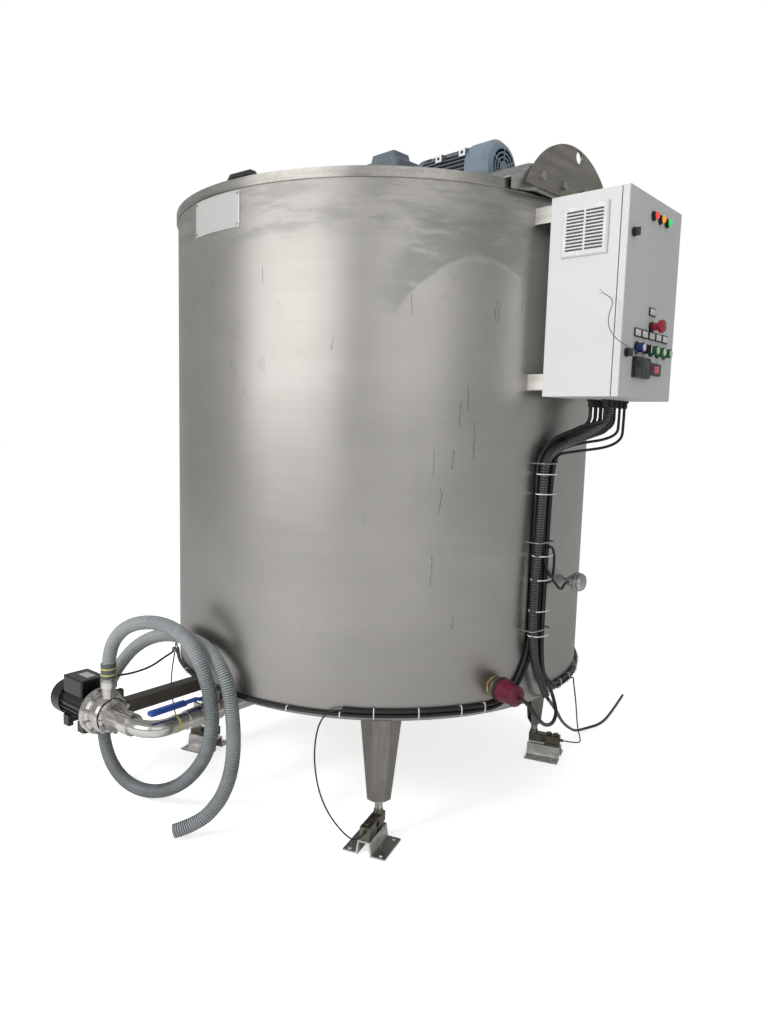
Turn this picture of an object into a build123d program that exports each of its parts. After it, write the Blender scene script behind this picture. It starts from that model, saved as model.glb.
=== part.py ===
from build123d import *
from math import cos, hypot, pi, radians, sin, sqrt, tan
import os

# Heated mixing tank for food products, all sizes in millimetres.
# Origin on the tank axis at floor level, +Z up, the front leg lies towards -Y.
# Angles round the tank start at the front leg and turn towards +X.

# Clearances shared by every seat and fit
seat_gap = 0.3
running_gap = 0.06

# Shell, jacket and vessel
shell_radius = 810.0
shell_wall = 2.0
shell_bottom = 458.0
shell_knuckle = 25.0
rim_top = 2150.0
rim_height = 30.0
rim_sheet = 3.0
rim_overhang = 6.0
rim_outer_radius = shell_radius + rim_overhang
insulation_depth = 22.0
jacket_radius = shell_radius - insulation_depth
jacket_wall_thickness = 3.0
jacket_bottom = 480.0
jacket_drop = 150.0
jacket_top = rim_top - jacket_drop
jacket_depth = 40.0
vessel_radius = jacket_radius - jacket_depth
wool_rise = 100.0
vessel_wall = 4.0
vessel_bottom = 620.0
vessel_knuckle = 60.0
deck_ledge = 10.0
deck_inner_radius = vessel_radius - deck_ledge
deck_sheet = 2.0
deck_margin = 12.0

# Bridge, lifting plates and drive
bridge_angle = 44.5
bridge_height = 46.0
bridge_top_half_width = 239.0
bridge_foot_half_width = 274.0
bridge_flange_half_width = 290.0
bridge_sheet = 4.0
bridge_overhang = 7.0
bridge_end = rim_outer_radius + bridge_overhang
bridge_end_half_width = 215.0
bridge_corner_length = 44.0
bridge_corner_start = bridge_end - bridge_corner_length
apron_drop = 32.0
apron_sheet = 6.0
lifting_plate_thickness = 8.0
lifting_plate_radius = 285.0
lifting_plate_centre_drop = 138.0
lifting_plate_foot_drop = 20.0
lifting_plate_shift = -15.0
lifting_eye_radius = 19.5
lifting_eye_height = 122.0
lifting_eye_shift = 15.0
plate_bolt_radius = 8.0
plate_bolt_height = 14.0
plate_bolt_places = (-185.0, -60.0, 60.0, 185.0)
bolt_head_height = 10.0
bolt_head_across = 24.0

gear_length = 210.0
gear_width = 180.0
gear_body_height = 200.0
gear_cap_height = 42.0
gear_flange_thickness = 16.0
gear_offset = 10.0
motor_axis_height = 100.0
motor_front = 225.0
motor_length = 232.0
motor_core_radius = 76.0
motor_fin_radius = 93.5
motor_fin_thickness = 4.0
motor_fin_pitch = 15.0
motor_fin_count = 9
fan_cover_radius = 97.0
fan_cover_length = 100.0
fan_cover_wall = 2.5
fan_cover_dome = 24.0
motor_shaft_radius = 14.0
fan_blades = 7

agitator_shaft_radius = 30.0
bearing_height = 40.0
paddle_length = 1120.0
paddle_width = 130.0
paddle_thickness = 8.0
paddle_pitch = 45.0
paddle_levels = (820.0, 1400.0)

# Lid
hinge_line = 306.0
hinge_pin_radius = 4.0
hinge_barrel_radius = 8.0
hinge_barrel_length = 70.0
hinge_places = (-420.0, 420.0)
lid_handle_angle = -39.0
lid_handle_inset = 40.0
lid_handle_radius = shell_radius - lid_handle_inset
lid_handle_span = 130.0

# Legs and weighing feet
leg_count = 4
leg_inset = 120.0
leg_circle = shell_radius - leg_inset
leg_foot_height = 141.0
leg_sheet = 4.0
leg_base_plate = 6.0
leg_top_outline = ((45, 33), (8, 72), (-45, 72))
leg_foot_outline = ((22, 19), (2, 40), (-22, 40))
stud_radius = 10.0
stud_collar_radius = 13.5
cell_angle = -25.0
cell_section = 36.0
cell_length = 130.0
cell_overhang = 18.0
cell_bottom = 60.0
cell_pad_length = 62.0
cell_stud_boss = 14.0
cell_gland = 14.0
saddle_top_width = 56.0
saddle_flange = 48.0
saddle_height = 50.0
saddle_sheet = 6.0
saddle_length = 140.0
anchor_hole_radius = 7.0
anchor_spacing = 112.0

# Control enclosure
box_angle = 47.0
box_width = 400.0
box_height = 600.0
box_body_depth = 225.0
box_gap = 3.0
box_door_depth = 22.0
box_sheet = 2.0
box_standoff = 31.0
box_back = shell_radius + box_standoff
box_below_rim = 47.0
box_bottom = rim_top - box_below_rim - box_height
bracket_height = 50.0
bracket_sheet = 5.0
bracket_inset = 20.0
door_hinge_offset = 4.0
door_hinge_pin = 2.0
door_barrel_radius = 3.6
door_barrel_length = 24.0
grille_size = 149.0
grille_depth = 8.0
grille_height = 489.5
grille_slats = 12
lock_side = 36.0
lock_heights = (130.0, 473.0)
lock_radius = 13.0
button_row_height = 150.0
button_first = 108.0
button_pitch = 53.3
button_radius = 11.0
button_bezel_radius = 14.5
button_reach = 26.0
button_stroke = 4.0
estop_side = 205.0
estop_row_height = 222.0
estop_radius = 20.0
estop_stroke = 5.0
pilot_places = (170.0, 222.0, 273.0)
pilot_row_height = 546.0
controller_place = (140.0, 92.0)
controller_size = (110.0, 62.0)
display_place = (252.0, 94.0)
display_size = (84.0, 38.0)
gland_columns = 5
gland_pitch = 38.0
gland_row_depths = (64.0, 114.0)
gland_first_side = 10.0
gland_radius = 12.0
gland_rows = [box_back + depth for depth in gland_row_depths]
gland_length = 26.0

# Heater and temperature sensor
heater_angle = 27.3
heater_height = 556.0
heater_socket_radius = 30.0
heater_socket_wall = 6.0
heater_cap_radius = 38.0
heater_element_length = 320.0
heater_rod_radius = 6.0
sensor_angle = 50.4
sensor_height = 877.0
sensor_neck_radius = 9.0
sensor_well_radius = 7.0
sensor_depth = 60.0
sensor_neck = 34.0
sensor_head_radius = 34.0

# Discharge pump, valve and pipe
pump_beside = 202.0
pump_forward = 433.0
pump_height = 333.0
pump_place = (-shell_radius - pump_beside, -pump_forward, pump_height)
pump_angle = 50.0
pump_flange_radius = 86.0
pump_flange_thickness = 12.0
pump_body_radius = 68.0
pump_body_length = 78.0
pump_wall = 4.0
pump_neck_radius = 34.0
pump_neck_end = 150.0
pump_nozzle_at = 44.0
pump_nozzle_radius = 24.0
pump_nozzle_top = 126.0
pump_motor_radius = 62.0
pump_motor_length = 245.0
pump_shaft_radius = 8.0
pump_plate = 6.0
pipe_radius = 30.0
pipe_wall = 2.0
elbow_radius = 76.0
elbow_corner = 294.0
union_radius = 40.0
valve_at = 240.0
valve_length = 112.0
valve_body_radius = 40.0
valve_ball_radius = 33.0
valve_stem_radius = 7.0
valve_lever_height = 62.0
valve_lever_length = 240.0
outlet_at = 760.0
arm_size = 50.0
arm_wall = 3.0
arm_side = -39.0
arm_drop = 23.0
arm_reach = 540.0

# Free cords: radius of the tube and the points of its route
hose_radius = 24.5
hose_tail_height = 470.0
mains_radius = 6.0
cell_lead_radius = 2.6
pump_lead_radius = 4.0
heater_lead_radius = 6.0
wire_radius = 1.3

# Loom held on the shell by hooks and ties
loom_angle = 38.6
loom_lane = 15.0
loom_drop = 151.0
loom_top = box_bottom - loom_drop
hook_drop = 62.0
ring_step = 11.0
ring_heights = (500.0, 484.0)
ring_front_end = -9.0
lane_feet = (640.0, 612.0, 590.0, 625.0)
loom_cable_radius = 6.2
conduit_radius = 11.5

nodes = {}


def node(name, *solids):
    nodes[name] = solids[0] if len(solids) == 1 else Compound(list(solids))


# Direction and place helpers, with X outwards and Y to the right of a stranger facing the tank
def around(angle, shape):
    return Rot(0, 0, angle - 90) * shape


def outward(angle):
    return Vector(sin(radians(angle)), -cos(radians(angle)), 0)


def sideways(angle):
    return Vector(cos(radians(angle)), sin(radians(angle)), 0)


def spot(angle, out, side, height):
    return outward(angle) * out + sideways(angle) * side + Vector(0, 0, height)


def rod(start, end, radius):
    start = Vector(*start)
    end = Vector(*end)
    plane = Plane(origin=start, z_dir=end - start)
    return extrude(plane * Circle(radius), (end - start).length)


def tube(start, end, outer, inner):
    return rod(start, end, outer) - rod(start, end, inner)


def block(low, high):
    size = [b - a for a, b in zip(low, high)]
    return Pos(*low) * Box(*size, align=(Align.MIN, Align.MIN, Align.MIN))


def turned(points):
    return revolve(Plane.XZ * make_face(Polyline(*points, close=True)), Axis.Z)


def hexagon_prism(across, height):
    return extrude(RegularPolygon(across / sqrt(3), 6), height)


def ring(outer, inner, bottom, top):
    return extrude(Plane.XY.offset(bottom) * (Circle(outer) - Circle(inner)), top - bottom)


def pot(radius, bottom, top, wall, knuckle):
    outside = Pos(0, 0, bottom) * extrude(Circle(radius), top - bottom)
    outside = fillet(outside.edges().group_by(Axis.Z)[0], knuckle)
    inside = Pos(0, 0, bottom + wall) * extrude(Circle(radius - wall), top - bottom)
    inside = fillet(inside.edges().group_by(Axis.Z)[0], max(knuckle - wall, 1.0))
    return outside - inside


# A cord is straight runs joined by the largest arcs that its runs allow
def cord(name, points, radius, share=0.45, show=True):
    points = [Vector(*p) for p in points]
    bends = []
    for before, here, after in zip(points, points[1:], points[2:]):
        turn = radians((here - before).get_angle(after - here))
        run = min((here - before).length, (after - here).length)
        bends.append(share * run / tan(turn / 2))
    if len(points) > 2:
        path = FilletPolyline(*points, radius=bends)
    else:
        path = Line(*points)
    section = Plane(origin=points[0], z_dir=points[1] - points[0]) * Circle(radius)
    solid = sweep(section, path=path)
    if show:
        expected = pi * radius ** 2 * path.length
        print(name, "length", round(path.length), "tightest", round(min(bends, default=0)),
              "volume ratio", round(solid.volume / expected, 4))
    return solid


# Outlet line geometry, shared by the vessel, the jacket and the pipework
pump_origin = Vector(*pump_place)
pump_axis = outward(pump_angle)
line_axis = outward(pump_angle + 90)


def pump_point(along, line, height=0.0):
    return pump_origin + pump_axis * along + line_axis * line + Vector(0, 0, height)


def line_point(distance, height=0.0):
    return pump_point(elbow_corner, distance, height)


outlet_centre = line_point(outlet_at)
outlet_pipe_hole = pipe_radius + seat_gap


# Heated tank
def heater_hole(depth_from, depth_to, radius):
    start = spot(heater_angle, depth_from, 0, heater_height)
    end = spot(heater_angle, depth_to, 0, heater_height)
    return rod(start, end, radius)


def sensor_hole(depth_from, depth_to, radius):
    start = spot(sensor_angle, depth_from, 0, sensor_height)
    end = spot(sensor_angle, depth_to, 0, sensor_height)
    return rod(start, end, radius)


def outlet_hole(bottom, top):
    base = Vector(outlet_centre.X, outlet_centre.Y, bottom)
    return rod(base, base + Vector(0, 0, top - bottom), outlet_pipe_hole)


shell_top = rim_top - rim_sheet - seat_gap
socket_hole = heater_socket_radius + seat_gap
well_hole = sensor_well_radius + seat_gap


def make_outer_shell():
    shell = pot(shell_radius, shell_bottom, shell_top, shell_wall, shell_knuckle)
    shell += make_heater_socket()
    shell -= heater_hole(vessel_radius, shell_radius + 30, heater_socket_radius - heater_socket_wall)
    shell -= sensor_hole(jacket_radius, shell_radius + 5, well_hole)
    shell -= outlet_hole(shell_bottom - 1, shell_bottom + shell_wall + 1)
    return shell


def make_insulation():
    outer = shell_radius - shell_wall - seat_gap
    thickness = outer - jacket_radius - seat_gap
    bottom = shell_bottom + shell_wall + seat_gap
    wool = pot(outer, bottom, jacket_top + wool_rise, thickness, shell_knuckle)
    wool -= heater_hole(jacket_radius - 20, shell_radius, socket_hole)
    wool -= sensor_hole(jacket_radius - 20, shell_radius, well_hole)
    wool -= outlet_hole(bottom - 1, jacket_bottom)
    return wool


def make_jacket():
    jacket = pot(jacket_radius, jacket_bottom, jacket_top, jacket_wall_thickness, shell_wall + 18)
    jacket += ring(jacket_radius, vessel_radius + seat_gap, jacket_top, jacket_top + jacket_wall_thickness)
    jacket -= heater_hole(vessel_radius, shell_radius, socket_hole)
    jacket -= sensor_hole(vessel_radius, shell_radius, well_hole)
    jacket -= outlet_hole(jacket_bottom - 1, jacket_bottom + jacket_wall_thickness + 1)
    return jacket


def make_vessel():
    vessel = pot(vessel_radius, vessel_bottom, shell_top, vessel_wall, vessel_knuckle)
    vessel -= sensor_hole(vessel_radius - 20, vessel_radius + 20, well_hole)
    vessel -= outlet_hole(vessel_bottom - 1, vessel_bottom + vessel_wall + 1)
    return vessel


def make_top_ring():
    band = ring(rim_outer_radius, shell_radius + seat_gap, rim_top - rim_height, rim_top)
    return band + ring(rim_outer_radius, deck_inner_radius, rim_top - rim_sheet, rim_top)


# Half covers and the hinged lid, in the bridge's own directions
deck_low = rim_top + seat_gap
deck_radius = rim_outer_radius - deck_margin


def half_cover(inner_side, direction):
    disc = Pos(0, 0, deck_low) * extrude(Circle(deck_radius), deck_sheet)
    far = deck_radius + 10
    near_side, far_side = sorted((direction * inner_side, direction * far))
    keep = block((-far, near_side, deck_low - 1), (far, far_side, deck_low + deck_sheet + 1))
    return disc & keep


def make_fixed_cover():
    return around(bridge_angle, half_cover(bridge_flange_half_width + seat_gap, 1))


hinge_height = deck_low + deck_sheet + hinge_barrel_radius


def barrel(place, start, length, hole):
    low = (place + start, -hinge_line, hinge_height)
    high = (place + start + length, -hinge_line, hinge_height)
    return tube(low, high, hinge_barrel_radius, hinge_pin_radius + hole)


def make_lid():
    lid = half_cover(hinge_line + 2, -1)
    third = hinge_barrel_length / 3
    for place in hinge_places:
        leaf = block((place - third / 2 + 1, -hinge_line - 45, deck_low + deck_sheet),
                     (place + third / 2 - 1, -hinge_line, deck_low + deck_sheet + 4))
        knuckle = barrel(place, -third / 2 + 1, third - 2, running_gap)
        leaf -= rod((place - third, -hinge_line, hinge_height),
                    (place + third, -hinge_line, hinge_height), hinge_barrel_radius - 1)
        lid += leaf + knuckle
    return around(bridge_angle, lid)


def make_lid_handle():
    top = deck_low + deck_sheet
    half = lid_handle_span / 2
    profile = Plane.XZ * make_face(Polyline(
        (-half, 0), (-half, 10), (-half + 18, 30), (half - 18, 30), (half, 10), (half, 0),
        (half - 20, 0), (half - 26, 18), (-half + 26, 18), (-half + 20, 0), close=True))
    grip = extrude(profile, 11, both=True)
    turn = Rot(0, 0, lid_handle_angle)
    return Pos(*spot(lid_handle_angle, lid_handle_radius, 0, top)) * turn * grip


def make_lid_hinges():
    third = hinge_barrel_length / 3
    pieces = []
    for place in hinge_places:
        for start in (-hinge_barrel_length / 2, third / 2):
            knuckle = barrel(place, start, third, seat_gap)
            leaf = block((place + start, -hinge_line, deck_low + bridge_sheet),
                         (place + start + third, -bridge_foot_half_width - 2, hinge_height))
            leaf -= rod((place - 60, -hinge_line, hinge_height),
                        (place + 60, -hinge_line, hinge_height), hinge_barrel_radius - 1)
            pieces.append(around(bridge_angle, knuckle + leaf))
        ends = hinge_barrel_length / 2 + 3
        pin = rod((place - ends, -hinge_line, hinge_height),
                  (place + ends, -hinge_line, hinge_height), hinge_pin_radius)
        pieces.append(around(bridge_angle, pin))
    return pieces


# Bridge: a folded hat section with chamfered ends that hook over the rim
bridge_base = rim_top + seat_gap
bridge_top = rim_top + bridge_height


def plan_outline(inset):
    end = bridge_end - inset
    side = bridge_flange_half_width - inset
    corner = bridge_corner_start - inset * 0.4
    tip = bridge_end_half_width - inset * 0.4
    return [(-end, -tip), (-corner, -side), (corner, -side), (end, -tip),
            (end, tip), (corner, side), (-corner, side), (-end, tip)]


def hat_section(inset):
    slope = (bridge_foot_half_width - bridge_top_half_width) / (bridge_height - bridge_sheet)
    shift = inset * sqrt(1 + slope ** 2)
    top = bridge_top - inset
    top_half = bridge_top_half_width - shift + inset * slope
    foot_half = bridge_foot_half_width - shift + inset * slope
    foot = bridge_base + bridge_sheet - inset
    outline = [(-foot_half, foot), (-top_half, top), (top_half, top), (foot_half, foot)]
    low = bridge_base if inset == 0 else bridge_base - 1
    if inset == 0:
        side = bridge_flange_half_width
        outline = [(-side, low), (-side, foot)] + outline + [(side, foot), (side, low)]
    else:
        outline = [(-foot_half, low)] + outline + [(foot_half, low)]
    return outline


def hat_prism(inset):
    length = 2 * bridge_end + 20
    face = Plane.YZ * make_face(Polyline(*hat_section(inset), close=True))
    prism = Pos(-length / 2, 0, 0) * extrude(face, length)
    plan = make_face(Polyline(*plan_outline(inset), close=True))
    return prism & (Pos(0, 0, bridge_base - 5) * extrude(plan, bridge_height + 20))


def make_bridge():
    bridge = hat_prism(0) - hat_prism(bridge_sheet)
    low = rim_top - apron_drop
    skirt = Plane.XY.offset(low) * (make_face(Polyline(*plan_outline(0), close=True))
                                   - make_face(Polyline(*plan_outline(apron_sheet), close=True)))
    skirt = extrude(skirt, bridge_base - low + 2)
    reach = bridge_end + 5
    for direction in (-1, 1):
        near, far = sorted((direction * (bridge_corner_start + 2), direction * reach))
        piece = skirt & block((near, -400, low - 1), (far, 400, bridge_base + 5))
        bridge += piece
    gear_seat = Pos(0, 0, bridge_top - 10) * extrude(Circle(70), 20)
    bridge -= gear_seat
    for direction in (-1, 1):
        for side in plate_bolt_places:
            place = side + direction * lifting_plate_shift
            bridge -= rod((direction * (bridge_end - 20), place, rim_top + plate_bolt_height),
                          (direction * (bridge_end + 1), place, rim_top + plate_bolt_height),
                          plate_bolt_radius + seat_gap)
    return around(bridge_angle, bridge)


def make_lifting_plate():
    inner = bridge_end + seat_gap
    centre = rim_top - lifting_plate_centre_drop
    disc = Plane.YZ.offset(inner) * (Pos(lifting_plate_shift, centre) * Circle(lifting_plate_radius))
    plate = extrude(disc, lifting_plate_thickness)
    plate &= block((inner - 1, -400, rim_top - lifting_plate_foot_drop), (inner + 30, 400, rim_top + 400))
    eye = (inner - 1, lifting_eye_shift, rim_top + lifting_eye_height)
    plate -= rod(eye, (inner + 30, eye[1], eye[2]), lifting_eye_radius)
    for side in plate_bolt_places:
        place = side + lifting_plate_shift
        height = rim_top + plate_bolt_height
        plate -= rod((inner - 1, place, height), (inner + 30, place, height), plate_bolt_radius + seat_gap)
    upper = plate.edges().filter_by(Axis.Z)
    if upper:
        plate = fillet(upper, 12)
    return plate


def make_plate_bolt(side):
    inner = bridge_end - apron_sheet
    outer = bridge_end + seat_gap + lifting_plate_thickness
    height = rim_top + plate_bolt_height
    place = side + lifting_plate_shift
    shank = rod((inner - 16, place, height), (outer, place, height), plate_bolt_radius)
    head = Pos(outer, place, height) * Rot(0, 90, 0) * hexagon_prism(bolt_head_across, bolt_head_height)
    nut = Pos(inner - 13, place, height) * Rot(0, 90, 0) * hexagon_prism(bolt_head_across, 12.7)
    return shank + head + nut


# Gear unit and motor, in the bridge's own directions
gear_base = bridge_top + seat_gap
motor_axis = bridge_top + motor_axis_height
gear_front = gear_offset + gear_length / 2


def make_gearbox():
    body_low = gear_base + gear_flange_thickness
    housing = Pos(gear_offset, 0, gear_base) * Box(
        gear_length + 20, gear_width + 40, gear_flange_thickness, align=(Align.CENTER, Align.CENTER, Align.MIN))
    housing = fillet(housing.edges().filter_by(Axis.Z), 18)
    body = Pos(gear_offset, 0, body_low) * Box(
        gear_length, gear_width, gear_body_height, align=(Align.CENTER, Align.CENTER, Align.MIN))
    body = fillet(body.edges().filter_by(Axis.Z), 26)
    body = fillet(body.faces().sort_by(Axis.Z)[-1].edges(), 12)
    cap_low = body_low + gear_body_height
    cap_outline = Plane.XY.offset(cap_low - 2) * RectangleRounded(gear_length - 70, gear_width - 70, 18)
    cap = extrude(cap_outline, gear_cap_height + 2, taper=14)
    housing += body + cap
    housing += rod((gear_front - 2, 0, motor_axis), (motor_front - 14, 0, motor_axis), 72)
    housing += rod((motor_front - 14, 0, motor_axis), (motor_front - 0.3, 0, motor_axis), 94)
    for side in (-1, 1):
        rib = block((gear_offset - 70, side * gear_width / 2 - 6, body_low + 30),
                    (gear_offset + 70, side * gear_width / 2 + 6, body_low + 46))
        housing += rib
        housing += rib.moved(Location((0, 0, 90)))
    bore_top = gear_base + 170
    housing += Pos(0, 0, bridge_top - 36) * extrude(Circle(60), 40)
    housing -= Pos(0, 0, bridge_top - 40) * extrude(Circle(agitator_shaft_radius + running_gap), bore_top - bridge_top + 40)
    housing -= rod((motor_front - 60, 0, motor_axis), (motor_front + 1, 0, motor_axis), motor_shaft_radius + running_gap)
    return around(bridge_angle, housing)


def make_motor_housing():
    back = motor_front + motor_length
    body = rod((motor_front, 0, motor_axis), (motor_front + 14, 0, motor_axis), 94)
    body += rod((motor_front + 13, 0, motor_axis), (back, 0, motor_axis), motor_core_radius)
    body += rod((back - 12, 0, motor_axis), (back, 0, motor_axis), fan_cover_radius - fan_cover_wall - seat_gap)
    fins = []
    half = (motor_fin_count - 1) / 2
    for index in range(motor_fin_count):
        offset = (index - half) * motor_fin_pitch
        reach = sqrt(motor_fin_radius ** 2 - (abs(offset) + 2) ** 2)
        flat = block((motor_front + 13, -reach, motor_axis + offset - motor_fin_thickness / 2),
                     (back - 1, reach, motor_axis + offset + motor_fin_thickness / 2))
        fins.append(flat)
    for index in range(5):
        offset = (index - 2) * motor_fin_pitch
        reach = sqrt(motor_fin_radius ** 2 - (abs(offset) + 2) ** 2)
        upright = block((motor_front + 13, offset - motor_fin_thickness / 2, motor_axis + 60),
                        (back - 1, offset + motor_fin_thickness / 2, motor_axis + reach))
        fins.append(upright)
    for fin in fins:
        body += fin
    pad_high = motor_axis + 66
    for start in (motor_front + 88, motor_front + 194):
        body += block((start, -92, motor_axis + 40), (start + 28, -40, pad_high))
    body += block((motor_front + 50, 60, motor_axis - 10), (motor_front + 170, 150, motor_axis + 80))
    body -= rod((motor_front - 1, 0, motor_axis), (back + 1, 0, motor_axis), motor_shaft_radius + running_gap)
    return around(bridge_angle, body)


def make_fan_cover():
    start = motor_front + motor_length - 10
    end = start + fan_cover_length
    inner = fan_cover_radius - fan_cover_wall
    outline = [(inner, 0), (fan_cover_radius, 0), (fan_cover_radius, fan_cover_length - fan_cover_dome),
               (fan_cover_radius - 14, fan_cover_length - 8), (fan_cover_radius - 30, fan_cover_length),
               (0, fan_cover_length), (0, fan_cover_length - fan_cover_wall),
               (fan_cover_radius - 31, fan_cover_length - fan_cover_wall),
               (fan_cover_radius - 15.5, fan_cover_length - 10), (inner, fan_cover_length - fan_cover_dome - 1)]
    cover = turned(outline)
    slots = []
    for radius, width in ((58, 9), (43, 9), (28, 9)):
        band = Circle(radius + width / 2) - Circle(radius - width / 2)
        for spoke in (0, 60, 120):
            band -= Rot(0, 0, spoke) * Rectangle(2 * radius + 40, 6)
        slots.append(Pos(0, 0, fan_cover_length - 10) * extrude(band, 20))
    for slot in slots:
        cover -= slot
    cover = Pos(start, 0, motor_axis) * Rot(0, 90, 0) * cover
    return around(bridge_angle, cover), end


def make_motor_rotor():
    back = motor_front + motor_length
    shaft = rod((motor_front - 58, 0, motor_axis), (back + 55, 0, motor_axis), motor_shaft_radius)
    shaft += rod((back + 12, 0, motor_axis), (back + 48, 0, motor_axis), 26)
    for index in range(fan_blades):
        blade = block((back + 14, 20, -2), (back + 46, 80, 2))
        shaft += Pos(0, 0, motor_axis) * Rot(360 / fan_blades * index, 0, 0) * blade
    return around(bridge_angle, shaft)


# Agitator and its bottom bearing
bearing_base = vessel_bottom + vessel_wall
shaft_low = bearing_base + 8


def make_agitator_shaft():
    top = gear_base + 165
    return Pos(0, 0, shaft_low) * extrude(Circle(agitator_shaft_radius), top - shaft_low)


def make_paddles():
    pieces = []
    for index, level in enumerate(paddle_levels):
        hub = Pos(0, 0, level - 60) * extrude(Circle(52), 120)
        for side in (1, -1):
            blade = Box(paddle_length / 2 - 30, paddle_thickness, paddle_width)
            blade = Pos(side * (paddle_length / 4 + 15), 0, level) * Rot(side * paddle_pitch, 0, 0) * blade
            hub += blade
        pieces.append(Rot(0, 0, 90 * index) * hub)
    return pieces


def make_bottom_bearing():
    housing = ring(55, agitator_shaft_radius + running_gap, bearing_base, bearing_base + bearing_height)
    for turn in (0, 120, 240):
        foot = block((50, -8, bearing_base), (120, 8, bearing_base + 12))
        housing += Rot(0, 0, turn) * foot
    return housing


# Folded tapered legs
def leg_outline(points, inset):
    front = [(x - inset if i == 0 else x - inset * 0.4, y - inset * (0.4 if i == 0 else 1.0))
             for i, (x, y) in enumerate(points)]
    return front + [(x, -y) for x, y in reversed(front)]


def leg_loft(inset, low, high, back_shift):
    def section(outline, height):
        points = [(leg_circle + x - (back_shift if i in (2, 3) else 0), y)
                  for i, (x, y) in enumerate(leg_outline(outline, inset))]
        return Plane.XY.offset(height) * make_face(Polyline(*points, close=True))
    return loft([section(leg_foot_outline, low), section(leg_top_outline, high)])


def make_leg():
    outer = leg_loft(0, leg_foot_height, shell_bottom, 0)
    hollow = leg_loft(leg_sheet, leg_foot_height, shell_bottom, 20)
    hollow &= block((leg_circle - 100, -100, leg_foot_height + leg_base_plate),
                    (leg_circle + 100, 100, shell_bottom - 4))
    leg = outer - hollow
    leg -= rod((leg_circle, 0, leg_foot_height - 1), (leg_circle, 0, leg_foot_height + 20), stud_radius + seat_gap)
    return leg


def make_foot_stud():
    cell_top = cell_bottom + cell_section
    boss_top = cell_top + cell_stud_boss
    stud = rod((leg_circle, 0, cell_top - 20), (leg_circle, 0, leg_foot_height + 34), stud_radius)
    stud += rod((leg_circle, 0, boss_top), (leg_circle, 0, leg_foot_height), stud_collar_radius)
    nut = Pos(leg_circle, 0, leg_foot_height + leg_base_plate) * hexagon_prism(28, 14)
    return stud + nut


# A load cell bar and its saddle, seen from the stud with X along the bar
def at_foot(shape):
    return Pos(leg_circle, 0, 0) * Rot(0, 0, cell_angle) * shape


def make_load_cell():
    top = cell_bottom + cell_section
    half = cell_section / 2
    bar = block((-cell_overhang, -half, cell_bottom), (cell_length - cell_overhang, half, top))
    bar = chamfer(bar.edges().filter_by(Axis.X), 2)
    end = cell_length - cell_overhang
    pad = block((end - cell_pad_length, -half, saddle_height), (end, half, cell_bottom + 0.5))
    boss = Pos(0, 0, top - 1) * extrude(Circle(half), cell_stud_boss + 1, taper=12)
    pocket = Rot(90, 0, 0) * extrude(Circle(11), 8)
    bar += pad + boss
    for side in (-1, 1):
        bar -= Pos(45, side * (half - 4), cell_bottom + half) * Rot(90, 0, 0) * extrude(Circle(11), 6, both=True)
    bar -= Pos(0, 0, top - 22) * extrude(Circle(stud_radius + seat_gap), 60)
    for place in (end - 16, end - 46):
        bar += Pos(place, 0, top) * hexagon_prism(19, 9)
    gland = rod((end - 1, 0, cell_bottom + half), (end + cell_gland, 0, cell_bottom + half), 6)
    bar += gland
    return at_foot(bar)


def make_saddle():
    top_half = saddle_top_width / 2
    outer_half = top_half + saddle_flange
    outline = [(-outer_half, 0), (-outer_half, saddle_sheet), (-top_half, saddle_sheet),
               (-top_half + 6, saddle_height), (top_half - 6, saddle_height), (top_half, saddle_sheet),
               (outer_half, saddle_sheet), (outer_half, 0), (top_half - 6, 0),
               (top_half - 11, saddle_height - saddle_sheet), (-top_half + 11, saddle_height - saddle_sheet),
               (-top_half + 6, 0)]
    start = cell_length / 2 - cell_overhang - saddle_length / 2
    saddle = Pos(start, 0, 0) * extrude(Plane.YZ * make_face(Polyline(*outline, close=True)), saddle_length)
    middle = start + saddle_length / 2
    for along in (-1, 1):
        for side in (-1, 1):
            hole = rod((middle + along * anchor_spacing / 2, side * anchor_spacing / 2, -1),
                       (middle + along * anchor_spacing / 2, side * anchor_spacing / 2, 20), anchor_hole_radius)
            saddle -= hole
    return at_foot(saddle)


def four(shape):
    return [Rot(0, 0, 360 / leg_count * index - 90) * shape for index in range(leg_count)]


# Control enclosure: X outwards from the tank, Y to the right, Z up
box_front = box_back + box_body_depth
door_back = box_front + box_gap
door_front = door_back + box_door_depth
box_half = box_width / 2
box_top = box_bottom + box_height


def door_side(distance):
    return distance - box_half


def make_enclosure():
    outer = block((box_back, -box_half, box_bottom), (box_front, box_half, box_top))
    inner = block((box_back + box_sheet, -box_half + box_sheet, box_bottom + box_sheet),
                  (box_front - box_sheet, box_half - box_sheet, box_top - box_sheet))
    mouth = block((box_front - 10, -box_half + 16, box_bottom + 16), (box_front + 1, box_half - 16, box_top - 16))
    body = outer - inner - mouth
    grille_centre = door_front - 133.5
    half = grille_size / 2 - 14
    body -= block((grille_centre - half, -box_half - 1, box_bottom + grille_height - half),
                  (grille_centre + half, -box_half + 5, box_bottom + grille_height + half))
    for place in gland_places():
        body -= Pos(place[0], place[1], box_bottom - 1) * extrude(Circle(gland_radius - 3), 5)
    for height in (40, box_height - 40):
        for side in (-1, 1):
            hole = (box_back - 1, side * (box_half - 60), box_bottom + height)
            body -= rod(hole, (box_back + 5, hole[1], hole[2]), 4.3)
    return body


def gland_places():
    places = []
    for row in gland_rows:
        for column in range(gland_columns):
            places.append((row, gland_first_side + column * gland_pitch))
    return places


def hinge_axis():
    return door_back - box_gap / 2, box_half + door_hinge_offset


def door_knuckle(low, height, hole):
    out, side = hinge_axis()
    return tube((out, side, low), (out, side, low + height), door_barrel_radius, door_hinge_pin + hole)


door_hinge_heights = (90.0, box_height - 90.0)


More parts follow.
